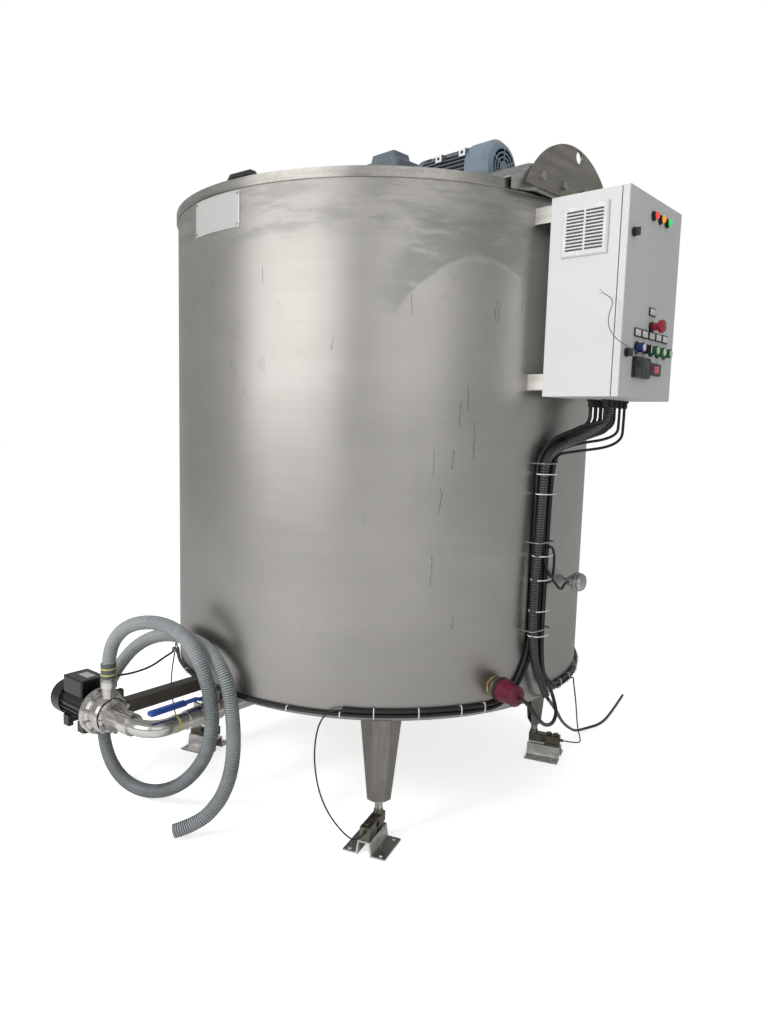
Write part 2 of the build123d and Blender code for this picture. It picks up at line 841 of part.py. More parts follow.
def make_door():
    outer = block((door_back, -box_half, box_bottom), (door_front, box_half, box_top))
    outer = fillet(outer.edges().filter_by(Axis.Z).sort_by(Axis.X)[-2:], 3)
    inner = block((door_back - 1, -box_half + box_sheet, box_bottom + box_sheet),
                  (door_front - box_sheet, box_half - box_sheet, box_top - box_sheet))
    door = outer - inner
    out, side = hinge_axis()
    for height in door_hinge_heights:
        low = box_bottom + height
        leaf = block((out, box_half, low + 1), (out + 18, side - door_hinge_pin - 0.8, low + door_barrel_length - 1))
        door += leaf + door_knuckle(low + 1, door_barrel_length - 2, running_gap)
    for row in lock_heights:
        door -= rod((door_back, door_side(lock_side), box_bottom + row),
                    (door_front + 1, door_side(lock_side), box_bottom + row), 9 + running_gap)
    for index in range(5):
        place = button_place(index)
        door -= rod((door_back, place[0], place[1]), (door_front + 1, place[0], place[1]), button_radius + running_gap)
    door -= rod((door_back, door_side(estop_side), box_bottom + estop_row_height),
                (door_front + 1, door_side(estop_side), box_bottom + estop_row_height), button_radius + running_gap)
    for place in pilot_places:
        door -= rod((door_back, door_side(place), box_bottom + pilot_row_height),
                    (door_front + 1, door_side(place), box_bottom + pilot_row_height), button_radius + seat_gap)
    for place, size in ((controller_place, controller_size), (display_place, display_size)):
        door -= block((door_back, door_side(place[0]) - size[0] / 2 + 4, box_bottom + place[1] - size[1] / 2 + 4),
                      (door_front + 1, door_side(place[0]) + size[0] / 2 - 4, box_bottom + place[1] + size[1] / 2 - 4))
    return door


def make_door_hinges():
    out, side = hinge_axis()
    pieces = []
    for height in door_hinge_heights:
        low = box_bottom + height
        for start in (-door_barrel_length, door_barrel_length):
            leaf = block((out - 18, box_half + 0.1, low + start), (out, side - door_hinge_pin - 0.8, low + start + door_barrel_length))
            pieces.append(leaf + door_knuckle(low + start, door_barrel_length, seat_gap))
        pieces.append(rod((out, side, low - door_barrel_length - 2),
                          (out, side, low + 2 * door_barrel_length + 2), door_hinge_pin))
    return pieces


def make_brackets():
    pieces = []
    back = box_back - seat_gap
    for height in (bracket_inset, box_height - bracket_inset - bracket_height):
        low = box_bottom + height
        high = low + bracket_height
        strap = block((back - bracket_sheet, -box_half, low), (back, box_half, high))
        for side in (-1, 1):
            near, far = sorted((side * box_half, side * (box_half - bracket_sheet)))
            strap += block((shell_radius - 60, near, low), (back, far, high))
            spacer = (back - 1, side * (box_half - 60), low + bracket_height / 2)
        strap -= Pos(0, 0, low - 1) * extrude(Circle(shell_radius + seat_gap), bracket_height + 2)
        for side in (-1, 1):
            place = (side * (box_half - 60), box_bottom + (40 if height == bracket_inset else box_height - 40))
            bolt = rod((back - bracket_sheet - 6, place[0], place[1]), (box_back + 10, place[0], place[1]), 4)
            strap -= rod((back - bracket_sheet - 6, place[0], place[1]), (back + 1, place[0], place[1]), 4.3)
            head = Pos(back - bracket_sheet - 6.5, place[0], place[1]) * Rot(0, 90, 0) * hexagon_prism(13, 6.5)
            pieces.append(bolt + head)
        pieces.append(strap)
    return pieces


def make_mounting_plate():
    plate_back = box_back + box_sheet + 14
    plate = block((plate_back, -box_half + 22, box_bottom + 25), (plate_back + 2.5, box_half - 22, box_top - 25))
    for height in (60, box_height - 60):
        for side in (-1, 1):
            plate += rod((box_back + box_sheet, side * (box_half - 40), box_bottom + height),
                         (plate_back + 1, side * (box_half - 40), box_bottom + height), 6)
    for height in (190, 330, 470):
        rail = block((plate_back + 2.5, -box_half + 40, box_bottom + height - 17.5),
                     (plate_back + 10, box_half - 40, box_bottom + height + 17.5))
        rail -= block((plate_back + 4, -box_half + 39, box_bottom + height - 13),
                      (plate_back + 11, box_half - 39, box_bottom + height + 13))
        plate += rail
    return plate


def make_switchgear():
    start = box_back + box_sheet + 14 + 10 + seat_gap
    pieces = []
    layout = ((190, (-140, 18, 8), 62, 60), (330, (-140, 36, 5), 85, 75), (470, (-140, 54, 3), 90, 78))
    for height, (first, width, count), tall, deep in layout:
        for index in range(count):
            side = first + index * (width + 1)
            module = block((start, side, box_bottom + height - tall / 2),
                           (start + deep, side + width, box_bottom + height + tall / 2))
            module = chamfer(module.faces().sort_by(Axis.X)[-1].edges(), 3)
            pieces.append(module)
    inverter = block((start, 30, box_bottom + 400), (start + 110, 150, box_top - 45))
    inverter = chamfer(inverter.faces().sort_by(Axis.X)[-1].edges(), 4)
    pieces = [p for p in pieces if (p & inverter) is None or p.bounding_box().max.Y < 30
              or p.bounding_box().max.Z < box_bottom + 400]
    pieces.append(inverter)
    return pieces


def make_grille():
    centre = door_front - 133.5
    half = grille_size / 2
    middle = box_bottom + grille_height
    outer = -box_half - seat_gap
    frame = block((centre - half, outer - grille_depth, middle - half), (centre + half, outer, middle + half))
    frame = chamfer(frame.faces().sort_by(Axis.Y)[0].edges(), 4)
    pitch = (grille_size - 30) / grille_slats
    for index in range(grille_slats):
        low = middle - half + 15 + index * pitch
        for side in (-1, 1):
            near, far = sorted((centre + side * 3, centre + side * (half - 15)))
            frame -= block((near, outer - grille_depth - 1, low + 2), (far, outer + 1, low + pitch - 2))
    return frame


def button_place(index):
    return door_side(button_first + index * button_pitch), box_bottom + button_row_height


def make_push_button(index):
    side, height = button_place(index)
    tip = door_front + button_reach
    cap = rod((door_front + button_stroke + 1, side, height), (tip, side, height), button_bezel_radius)
    cap = fillet(cap.edges().sort_by(Axis.X)[-1], 2.5)
    return cap + rod((door_back - 2, side, height), (door_front + button_stroke + 2, side, height), button_radius)


def make_selector(index):
    side, height = button_place(index)
    base = rod((door_front + 0.4, side, height), (door_front + 12, side, height), button_bezel_radius)
    stem = rod((door_back - 2, side, height), (door_front + 1, side, height), button_radius)
    lever = block((door_front + 11, side - 4, height - 13), (door_front + button_reach, side + 4, height + 13))
    lever = fillet(lever.edges().filter_by(Axis.X), 3)
    return base + stem + lever


def make_estop():
    side = door_side(estop_side)
    height = box_bottom + estop_row_height
    start = door_front + 14
    profile = [(0, 0), (12, 0), (12, 10), (estop_radius, 17), (estop_radius, 26), (estop_radius - 3, 30), (0, 32)]
    head = Pos(start, side, height) * Rot(0, 90, 0) * turned(profile)
    return head + rod((door_back - 3, side, height), (start + 2, side, height), button_radius - 2)


def make_estop_collar():
    side = door_side(estop_side)
    height = box_bottom + estop_row_height
    collar = tube((door_front, side, height), (door_front + 8, side, height), 15, button_radius - 2 + 0.3)
    sleeve = tube((door_back, side, height), (door_front + 0.5, side, height),
                  button_radius, button_radius - 2 + 0.3)
    return collar + sleeve


def make_lock(row):
    side = door_side(lock_side)
    height = box_bottom + row
    body = rod((door_front + 0.4, side, height), (door_front + 6, side, height), lock_radius)
    body += rod((door_back + 1, side, height), (door_front + 1, side, height), 9)
    wing = block((door_front + 5, side - 3.5, height - 12), (door_front + 21, side + 3.5, height + 12))
    wing = fillet(wing.edges().filter_by(Axis.X), 3)
    cam = block((door_back + 1, side - 12, height - 7), (door_back + 4, side + 7, height + 7))
    return body + wing + cam


def make_pilots():
    pieces = []
    for place in pilot_places:
        side = door_side(place)
        height = box_bottom + pilot_row_height
        lamp = rod((door_front, side, height), (door_front + 4, side, height), button_bezel_radius)
        lens = rod((door_front + 3, side, height), (door_front + 15, side, height), button_radius)
        lens = fillet(lens.edges().sort_by(Axis.X)[-1], 4)
        stem = rod((door_back - 2, side, height), (door_front + 1, side, height), button_radius)
        pieces.append(lamp + lens + stem)
    return pieces


def make_instruments():
    pieces = []
    for place, size, proud in ((controller_place, controller_size, 14), (display_place, display_size, 8)):
        side = door_side(place[0])
        height = box_bottom + place[1]
        face = block((door_front, side - size[0] / 2, height - size[1] / 2),
                     (door_front + proud, side + size[0] / 2, height + size[1] / 2))
        face = fillet(face.edges().filter_by(Axis.X), 3)
        face = chamfer(face.faces().sort_by(Axis.X)[-1].edges(), 2)
        case = block((door_back - 30, side - size[0] / 2 + 4.3, height - size[1] / 2 + 4.3),
                     (door_front + 1, side + size[0] / 2 - 4.3, height + size[1] / 2 - 4.3))
        pieces.append(face + case)
    return pieces


def make_glands():
    pieces = []
    for place in gland_places():
        low = box_bottom
        gland = Pos(place[0], place[1], low - 8) * hexagon_prism(24, 8)
        dome = Pos(place[0], place[1], low - gland_length) * extrude(Circle(gland_radius - 3), gland_length - 8)
        dome = chamfer(dome.edges().sort_by(Axis.Z)[0], 2)
        thread = Pos(place[0], place[1], low - 0.5) * extrude(Circle(gland_radius - 3.3), 8)
        nut = Pos(place[0], place[1], low + box_sheet) * hexagon_prism(22, 5)
        pieces.append(gland + dome + thread + nut)
    return pieces


# Immersion heater
def radial_turned(profile, angle, height, start):
    piece = Pos(start, 0, height) * Rot(0, 90, 0) * turned(profile)
    return around(angle, piece)


def make_heater_socket():
    start = vessel_radius + 8
    end = shell_radius + 22
    return around(heater_angle, rod((start, 0, heater_height), (end, 0, heater_height), heater_socket_radius))


def make_heater_element():
    end = shell_radius + 22 + seat_gap
    flange = Pos(end, 0, heater_height) * Rot(0, 90, 0) * hexagon_prism(66, 14)
    plug = rod((end - 40, 0, heater_height), (end + 1, 0, heater_height), heater_socket_radius - heater_socket_wall - seat_gap)
    element = flange + plug
    start = end - 38 - heater_element_length
    for turn in (0, 120, 240):
        y = 13 * cos(radians(turn))
        z = 13 * sin(radians(turn))
        element += rod((start, y, heater_height + z), (end - 38, y, heater_height + z), heater_rod_radius)
    element += rod((start - 8, 0, heater_height), (start + 1, 0, heater_height), 21)
    return around(heater_angle, element)


heater_cap_start = shell_radius + 22 + seat_gap + 14 + seat_gap
heater_cap_length = 92.0


def make_heater_cap():
    r = heater_cap_radius
    profile = [(0, 0), (r - 6, 0), (r - 6, 6), (r, 8), (r, 24), (r - 3, 27), (r - 7, 62), (r - 4, 64), (r - 4, 74),
               (r - 8, 76), (r - 12, 80), (12, 84), (12, heater_cap_length), (0, heater_cap_length)]
    return radial_turned(profile, heater_angle, heater_height, heater_cap_start)


# Temperature sensor: welded pocket, neck and cast head
def make_sensor():
    depth = vessel_radius - sensor_depth
    neck_end = shell_radius + sensor_neck
    body = rod((depth, 0, sensor_height), (shell_radius + 1, 0, sensor_height), sensor_well_radius)
    body += rod((shell_radius + seat_gap, 0, sensor_height), (shell_radius + 12, 0, sensor_height), 15)
    body += rod((shell_radius + 11, 0, sensor_height), (neck_end, 0, sensor_height), sensor_neck_radius)
    head = Pos(neck_end - 2, 0, sensor_height) * Rot(0, 90, 0) * turned(
        [(0, 0), (16, 0), (20, 8), (sensor_head_radius - 4, 22), (sensor_head_radius, 26), (sensor_head_radius, 34),
         (sensor_head_radius - 2, 36), (sensor_head_radius - 2, 46), (sensor_head_radius - 8, 56), (0, 60)])
    gland = rod((neck_end + 22, -sensor_head_radius + 8, sensor_height + 6),
                (neck_end + 22, -sensor_head_radius - 22, sensor_height + 6), 9)
    return around(sensor_angle, body + head + gland)


# Pump group: X along the pump axis, Y along the outlet line, Z up
def at_pump(shape):
    return Pos(*pump_place) * Rot(0, 0, pump_angle - 90) * shape


def make_pump_casing():
    r = pump_body_radius
    profile = [(0, -pump_flange_thickness), (pump_flange_radius, -pump_flange_thickness), (pump_flange_radius, 0),
               (pump_flange_radius - 6, 2), (r + 6, 3), (r + 2, 8), (r, 14), (r, pump_body_length - 22),
               (r - 5, pump_body_length - 8), (r - 16, pump_body_length),
               (pump_neck_radius + 14, pump_body_length), (pump_neck_radius + 14, pump_body_length + 10),
               (pump_neck_radius, pump_body_length + 12), (pump_neck_radius, pump_neck_end), (0, pump_neck_end)]
    body = Rot(0, 90, 0) * turned([(x, z) for x, z in profile])
    chamber = rod((0, 0, 0), (pump_body_length - 6, 0, 0), r - pump_wall)
    inlet = rod((0, 0, 0), (pump_neck_end + 1, 0, 0), pump_neck_radius - 6)
    nozzle = rod((pump_nozzle_at, 0, 40), (pump_nozzle_at, 0, pump_nozzle_top), pump_nozzle_radius)
    collar = rod((pump_nozzle_at, 0, pump_nozzle_top - 24), (pump_nozzle_at, 0, pump_nozzle_top), pump_nozzle_radius + 5)
    body += nozzle + collar
    for turn in range(6):
        nut = Pos(pump_body_length - 22, 0, 0) * Rot(60 * turn + 30, 0, 0) * Pos(0, pump_neck_radius + 22, 0)
        body += nut * Rot(0, 90, 0) * hexagon_prism(15, 32)
    body -= chamber
    body -= inlet
    body -= rod((pump_nozzle_at, 0, 0), (pump_nozzle_at, 0, pump_nozzle_top + 1), pump_nozzle_radius - 4)
    body -= rod((-pump_flange_thickness - 1, 0, 0), (1, 0, 0), pump_shaft_radius + running_gap)
    return at_pump(body)


def make_impeller():
    wheel = rod((8, 0, 0), (12, 0, 0), pump_body_radius - 10)
    wheel += rod((8, 0, 0), (40, 0, 0), 14)
    for index in range(6):
        vane = block((11, 12, -2), (34, pump_body_radius - 11, 2))
        wheel += Rot(60 * index, 0, 0) * vane
    wheel += rod((-90, 0, 0), (12, 0, 0), pump_shaft_radius)
    return at_pump(wheel)


motor_start = -pump_flange_thickness - pump_plate - 2 * seat_gap


def make_pump_motor():
    r = pump_motor_radius
    end = motor_start - pump_motor_length
    body = rod((motor_start, 0, 0), (motor_start - 12, 0, 0), r + 14)
    body += rod((motor_start - 10, 0, 0), (motor_start - 40, 0, 0), r - 8)
    body += rod((motor_start - 40, 0, 0), (end + 70, 0, 0), r - 6)
    for index in range(18):
        if index not in (4, 5):
            fin = block((end + 68, r - 10, -1.5), (motor_start - 42, r, 1.5))
            body += Rot(20 * index + 10, 0, 0) * fin
    cover = rod((end + 70, 0, 0), (end, 0, 0), r + 3)
    cover = fillet(cover.edges().sort_by(Axis.X)[0], 16)
    body += cover
    box = block((end + 80, -50, r - 16), (end + 80 + 128, 50, r + 46))
    box = fillet(box.edges().filter_by(Axis.Z), 8)
    box = fillet(box.faces().sort_by(Axis.Z)[-1].edges(), 5)
    body += box
    for along in (end + 84, motor_start - 62):
        foot = block((along, -54, -r - 22), (along + 36, 54, -r + 18))
        foot -= block((along - 1, -34, -r - 23), (along + 37, 34, -r - 8))
        body += foot
    body -= rod((motor_start - 80, 0, 0), (motor_start + 1, 0, 0), pump_shaft_radius + running_gap)
    body += rod((end + 144, 49, r + 14), (end + 144, 64, r + 14), 9)
    return at_pump(body)


def make_pump_arm():
    plate_end = -pump_flange_thickness - seat_gap
    half = arm_size / 2
    centre = -arm_drop
    beam = block((arm_side - half, 88, centre - half), (arm_side + half, arm_reach, centre + half))
    beam -= block((arm_side - half + arm_wall, 88 + arm_wall, centre - half + arm_wall),
                  (arm_side + half - arm_wall, arm_reach + 1, centre + half - arm_wall))
    plate = block((plate_end - pump_plate, -72, -72), (plate_end, 96, 60))
    plate = fillet(plate.edges().filter_by(Axis.X), 12)
    plate -= rod((plate_end - pump_plate - 1, 0, 0), (plate_end + 1, 0, 0), 20)
    web = block((arm_side - half, 84, centre - half), (plate_end - pump_plate + 0.5, 92, centre + half))
    arm = at_pump(beam + plate + web)
    left_leg = Rot(0, 0, 180) * leg_loft(-seat_gap, leg_foot_height, shell_bottom, 0)
    arm -= left_leg
    return arm.solids().sort_by(SortBy.VOLUME)[-1]


def bent_pipe(points, bend, radius, wall):
    path = FilletPolyline(*points, radius=bend)
    plane = Plane(origin=points[0], z_dir=Vector(*points[1]) - Vector(*points[0]))
    return sweep(plane * Circle(radius), path=path) - sweep(plane * Circle(radius - wall), path=path)


def make_suction_pipe():
    start = pump_point(pump_neck_end + seat_gap, 0)
    end = line_point(valve_at - valve_length / 2 - seat_gap)
    pipe = bent_pipe([start, line_point(0), end], elbow_radius, pipe_radius, pipe_wall)
    nut = tube(start, pump_point(pump_neck_end + 48, 0), union_radius, pipe_radius - 1)
    nut = chamfer(nut.edges().filter_by(GeomType.CIRCLE).sort_by(SortBy.RADIUS)[-2:], 3)
    collar = tube(line_point(150), end, pipe_radius + 5, pipe_radius - 1)
    return pipe + nut + collar


def make_valve_body():
    low = valve_at - valve_length / 2
    high = valve_at + valve_length / 2
    body = rod(line_point(low), line_point(high), pipe_radius + 6)
    middle = rod(line_point(valve_at - 26), line_point(valve_at + 26), valve_body_radius)
    bonnet = rod(line_point(valve_at), line_point(valve_at, 50), 15)
    pad = rod(line_point(valve_at, 44), line_point(valve_at, 52), 20)
    body += middle + bonnet + pad
    for edge in (valve_at - 28, valve_at + 16):
        flange = Pos(*line_point(edge)) * Rot(0, 0, pump_angle) * Rot(0, 0, 0) * Box(
            12, 78, 78, align=(Align.MIN, Align.CENTER, Align.CENTER))
        body += flange
    body -= rod(line_point(low - 1), line_point(high + 1), pipe_radius - pipe_wall)
    body -= Pos(*line_point(valve_at)) * Sphere(valve_ball_radius + 0.3)
    body -= rod(line_point(valve_at), line_point(valve_at, 60), valve_stem_radius + running_gap)
    return body


def make_valve_lever():
    ball = Pos(*line_point(valve_at)) * Sphere(valve_ball_radius)
    ball -= rod(line_point(valve_at - 40), line_point(valve_at + 40), 24)
    stem = rod(line_point(valve_at, 28), line_point(valve_at, valve_lever_height + 4), valve_stem_radius)
    base = Pos(*line_point(valve_at, valve_lever_height - 4)) * Rot(0, 0, pump_angle)
    hub = block((-22, -13, 0), (16, 13, 5))
    slope = block((-40, -11, 0), (-20, 11, 5))
    grip = block((-valve_lever_length, -12, 4), (-34, 12, 12))
    grip = fillet(grip.edges().filter_by(Axis.Z), 10)
    grip = fillet(grip.edges().filter_by(Axis.X), 2.5)
    nut = Pos(0, 0, 4) * hexagon_prism(16, 9)
    return ball + stem + base * (hub + slope + grip + nut)


def make_outlet_pipe():
    start = line_point(valve_at + valve_length / 2 + seat_gap)
    corner = line_point(outlet_at)
    top = Vector(corner.X, corner.Y, vessel_bottom + vessel_wall - 1)
    return bent_pipe([start, corner, top], elbow_radius, pipe_radius, pipe_wall)


hose_foot = pump_point(pump_nozzle_at, 0, pump_nozzle_top + seat_gap)


def make_hose_adapter():
    length = hose_tail_height - hose_foot.Z
    profile = [(12, 0), (26, 0), (26, 5), (21, 6), (21, length - 2), (29, length - 2), (29, length), (12, length)]
    body = Pos(hose_foot.X, hose_foot.Y, hose_foot.Z) * turned(profile)
    return [body]


# Cord routes, followed from the photograph and kept clear of the shell
hose_route = [
    (hose_foot.X, hose_foot.Y, hose_tail_height), (hose_foot.X, hose_foot.Y, 540), (-952, -478, 618),
    (-894, -510, 676), (-812, -548, 704), (-728, -588, 702), (-654, -645, 674), (-604, -684, 611),
    (-577, -686, 534), (-568, -668, 450), (-569, -654, 366), (-588, -630, 276), (-634, -590, 187),
    (-706, -543, 104), (-802, -490, 50), (-902, -430, 36), (-985, -370, 64), (-1044, -312, 128),
    (-1072, -262, 212), (-1072, -232, 300), (-1046, -226, 386), (-998, -240, 462), (-936, -278, 532),
    (-860, -330, 584), (-772, -402, 618), (-684, -512, 636), (-612, -590, 637), (-555, -648, 604),
    (-511, -688, 539), (-494, -703, 454), (-487, -706, 364), (-490, -704, 276), (-508, -696, 190),
    (-545, -694, 112), (-606, -704, 54), (-684, -712, 30)]


def at_loom(side, height, out=0.0):
    return spot(loom_angle, shell_radius + seat_gap + loom_cable_radius + 0.8 + out, side, height)


# The mains lead leaves the end of the conduit in its direction
conduit_front = 6.3 + conduit_radius + loom_cable_radius + 0.6
conduit_end = at_loom(50, 492, conduit_front + 4)
conduit_last = at_loom(-8, 590, conduit_front)
mains_route = [
    conduit_end, conduit_end + (conduit_end - conduit_last).normalized() * 50, (648, -470, 382),
    (706, -330, 290), (775, -160, 196), (850, 25, 104), (920, 160, 32), (995, 250, 8),
    (1090, 310, 7), (1190, 460, 7), (1330, 700, 7)]


# Cables clipped round the lower edge stand just clear of the shell between their corners
def ring_points(start, end, height):
    count = max(2, round(abs(end - start) / ring_step))
    radius = (shell_radius + loom_cable_radius + 0.8) / cos(radians(ring_step / 2 + 0.5))
    return [spot(start + (end - start) * k / count, radius, 0, height) for k in range(count + 1)]


front_before, front_tail = ring_points(30, ring_front_end, ring_heights[0])[-2:]


# The lead of a load cell leaves its far end, along the bar
def cell_exit(angle, distance):
    reach = cell_length - cell_overhang + cell_gland + distance
    return outward(angle) * leg_circle + outward(angle + cell_angle) * reach + Vector(0, 0, cell_bottom + cell_section / 2)


front_cell_route = [
    front_tail, front_tail + (front_tail - front_before).normalized() * 36, (-199, -808, 462),
    (-213, -813, 395), (-213, -813, 315), (-197, -813, 225), (-162, -817, 148), (-108, -836, 92),
    cell_exit(0, 44), cell_exit(0, 0)]
right_cell_route = [
    spot(59.5, 838, 0, 468), (738, -410, 400), (766, -340, 320), (800, -250, 230), (838, -168, 150),
    (862, -112, 98), cell_exit(90, 44), cell_exit(90, 0)]
left_cell_route = [
    spot(-85, 838, 0, 470), (-850, -66, 390), (-862, -50, 300), (-866, 0, 200), (-866, 44, 122),
    cell_exit(270, 44), cell_exit(270, 0)]
pump_lead_route = [
    pump_point(-119.6, 64, 76), pump_point(-119.6, 92, 76), pump_point(-94, 120, 80),
    pump_point(-52, 170, 90), pump_point(-44, 240, 100), pump_point(-62, 310, 116), spot(-80, 840, 0, 470)]
heater_lead_route = [
    spot(heater_angle, heater_cap_start + heater_cap_length, 0, heater_height),
    spot(heater_angle, heater_cap_start + heater_cap_length + 34, 0, heater_height),
    (482, -866, 504), (520, -822, 462), (562, -768, 452), (584, -716, 486), spot(loom_angle, 868, 22, 560)]


# A thin wire from the weighing controller, round the edge of the door, as distance out, side and height
wire_places = (
    (door_front + 14, -91, 1606), (1126, -92, 1607), (1134, -122, 1616), (1131, -162, 1629),
    (1118, -200, 1642), (1094, -228, 1660), (1072, -238, 1688), (1064, -240, 1720),
    (1068, -235, 1748), (1073, -230, 1768), (1064, -233, 1786), (1048, -240, 1795))
wire_route = [spot(box_angle, *place) for place in wire_places]

gland_foot = box_bottom - gland_length
sensor_exit = sideways(sensor_angle) * -1
sensor_face = spot(sensor_angle, shell_radius + sensor_neck + 22, -sensor_head_radius - 22, sensor_height + 6)


# Cables from the glands under the enclosure, down the shell and round its lower edge
def make_loom():
    cables = []
    upper, lower = ring_heights
    ends = (ring_points(30, ring_front_end, upper), ring_points(30, -80, lower),
            ring_points(47, 176, lower), ring_points(47, 86, upper))
    for index, end in enumerate(ends):
        lane = (index - 1.5) * loom_lane
        gland = gland_first_side + index * gland_pitch
        start = spot(box_angle, gland_rows[0], gland, gland_foot)
        drop = spot(box_angle, gland_rows[0], gland, box_bottom - 80)
        points = [start, drop, at_loom(lane, loom_top), at_loom(lane, lane_feet[index])]
        cables.append(cord("loom cable", points + end, loom_cable_radius, show=False))
    gland = gland_first_side + gland_pitch
    points = [spot(box_angle, gland_rows[1], gland, gland_foot),
              spot(box_angle, gland_rows[1], gland, box_bottom - 95),
              at_loom(-18, loom_top - 20, conduit_front), at_loom(-20, 1200, conduit_front),
              at_loom(-28, 1038, conduit_front), at_loom(-40, 840, conduit_front),
              at_loom(-34, 700, conduit_front), conduit_last, conduit_end]
    cables.append(cord("conduit", points, conduit_radius, show=False))
    gland += gland_pitch
    points = [spot(box_angle, gland_rows[1], gland, gland_foot),
              spot(box_angle, gland_rows[1], gland, box_bottom - 90),
              at_loom(14, loom_top - 5, 13.6), at_loom(10, 1150, 13.6), at_loom(12, 985, 13.6),
              at_loom(26, 925, 24), at_loom(66, 862, 54), sensor_face + sensor_exit * 28, sensor_face]
    cables.append(cord("sensor cable", points, 4.5, show=False))
    return cables


hook_places = ((loom_top - hook_drop, -44, 44), (1030, -52, 40), (735, -62, 40))
hook_radius = 2.5


# A hook stands on the shell with both its ends
def hook_foot(side, height):
    reach = sqrt((shell_radius + seat_gap) ** 2 - (abs(side) - hook_radius) ** 2)
    return spot(loom_angle, reach, side, height)


def make_hooks():
    hooks = []
    for height, left, right in hook_places:
        path = FilletPolyline(hook_foot(left, height), at_loom(left, height, 42), at_loom(right, height, 42),
                              hook_foot(right, height), radius=12)
        section = Plane(origin=path @ 0, z_dir=path % 0) * Circle(hook_radius)
        hooks.append(sweep(section, path=path))
    return hooks


def make_cords():
    node("hose", cord("hose", hose_route, hose_radius))
    node("mains_lead", cord("mains_lead", mains_route, mains_radius))
    node("front_cell_lead", cord("front_cell_lead", front_cell_route, cell_lead_radius))
    node("right_cell_lead", cord("right_cell_lead", right_cell_route, cell_lead_radius))
    node("left_cell_lead", cord("left_cell_lead", left_cell_route, cell_lead_radius))
    node("pump_lead", cord("pump_lead", pump_lead_route, pump_lead_radius))
    node("heater_lead", cord("heater_lead", heater_lead_route, heater_lead_radius))
    node("instrument_wire", cord("instrument_wire", wire_route, wire_radius))
    node("cable_loom", *make_loom())
    node("cable_hooks", *make_hooks())


def make_pieces():
    node("outer_shell", make_outer_shell())
    node("insulation", make_insulation())
    node("jacket", make_jacket())
    node("inner_vessel", make_vessel())
    node("top_ring", make_top_ring())
    node("fixed_cover", make_fixed_cover())
    node("hinged_lid", make_lid())
    node("lid_handle", make_lid_handle())
    node("lid_hinges", *make_lid_hinges())
    node("bridge", make_bridge())
    plate = around(bridge_angle, make_lifting_plate())
    node("lifting_plates", plate, Rot(0, 0, 180) * plate)
    bolts = [around(bridge_angle + turn, make_plate_bolt(side)) for turn in (0, 180) for side in plate_bolt_places]
    node("steel_bolts", *bolts, *four(make_foot_stud()))
    node("gearbox", make_gearbox())
    node("motor_housing", make_motor_housing())
    node("motor_fan_cover", make_fan_cover()[0])
    node("motor_rotor", make_motor_rotor())
    node("agitator", make_agitator_shaft() + make_paddles())
    node("bottom_bearing", make_bottom_bearing())
    node("legs", *four(make_leg()))
    node("load_cells", *four(make_load_cell()))
    node("load_cell_saddles", *four(make_saddle()))


def make_box_pieces():
    def box_node(name, *solids):
        node(name, *[around(box_angle, s) for s in solids])
    box_node("enclosure_body", make_enclosure())
    box_node("enclosure_door", make_door())
    box_node("door_hinges", *make_door_hinges())
    box_node("enclosure_brackets", *make_brackets())
    box_node("mounting_plate", make_mounting_plate(), *make_switchgear())
    box_node("filter_grille", make_grille())
    for label, row in zip(("lower", "upper"), lock_heights):
        box_node("door_lock_" + label, make_lock(row))
    box_node("blue_button", make_push_button(0))
    box_node("selector_switch", make_selector(1))
    for index in range(3):
        box_node("green_button_" + str(index + 1), make_push_button(index + 2))
    box_node("stop_button", make_estop())
    box_node("door_fittings", make_estop_collar(), *make_pilots())
    box_node("door_instruments", *make_instruments())
    box_node("cable_glands", *make_glands())


def make_pump_pieces():
    node("heater_element", make_heater_element())
    node("heater_cap", make_heater_cap())
    node("temperature_sensor", make_sensor())
    node("pump_casing", make_pump_casing(), *make_hose_adapter())
    node("pump_impeller", make_impeller())
    node("pump_motor", make_pump_motor())
    node("pump_arm", make_pump_arm())
    node("suction_pipe", make_suction_pipe())
    node("valve_body", make_valve_body())
    node("valve_lever", make_valve_lever())
    node("outlet_pipe", make_outlet_pipe())


make_pieces()
make_box_pieces()
make_pump_pieces()
make_cords()

os.makedirs("parts", exist_ok=True)
for name, shape in nodes.items():
    export_step(shape, "parts/" + name + ".step")
print(len(nodes), "nodes")
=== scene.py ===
import bpy
import bmesh
from math import cos, pi, radians, sin
from mathutils import Matrix, Vector


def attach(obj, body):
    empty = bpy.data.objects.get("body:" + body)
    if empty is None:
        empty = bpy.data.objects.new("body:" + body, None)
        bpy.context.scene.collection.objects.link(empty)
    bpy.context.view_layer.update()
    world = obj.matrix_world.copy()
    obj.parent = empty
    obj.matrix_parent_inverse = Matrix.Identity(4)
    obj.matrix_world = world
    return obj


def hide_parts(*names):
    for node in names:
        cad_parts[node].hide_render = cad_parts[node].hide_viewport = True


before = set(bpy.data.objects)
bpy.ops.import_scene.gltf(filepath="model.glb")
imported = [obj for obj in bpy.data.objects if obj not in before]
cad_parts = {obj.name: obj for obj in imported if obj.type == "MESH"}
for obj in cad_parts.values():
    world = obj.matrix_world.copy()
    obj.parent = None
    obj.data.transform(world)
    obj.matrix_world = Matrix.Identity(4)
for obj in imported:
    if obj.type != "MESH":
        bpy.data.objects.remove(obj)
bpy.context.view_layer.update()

scene = bpy.context.scene
scene.view_settings.view_transform = "Standard"


# directions on the tank in degrees from the front leg towards +X, sizes in metres
boxAngle = 47
loomAngle = 38.6
heaterAngle = 27.3
heaterHeight = 0.556
bridgeAngle = 44.5
pumpAngle = 50
shellRadius = 0.81
boxBottom = 1.503
boxMiddle = 1.803


def outward(angle):
    return Vector((sin(radians(angle)), -cos(radians(angle)), 0))


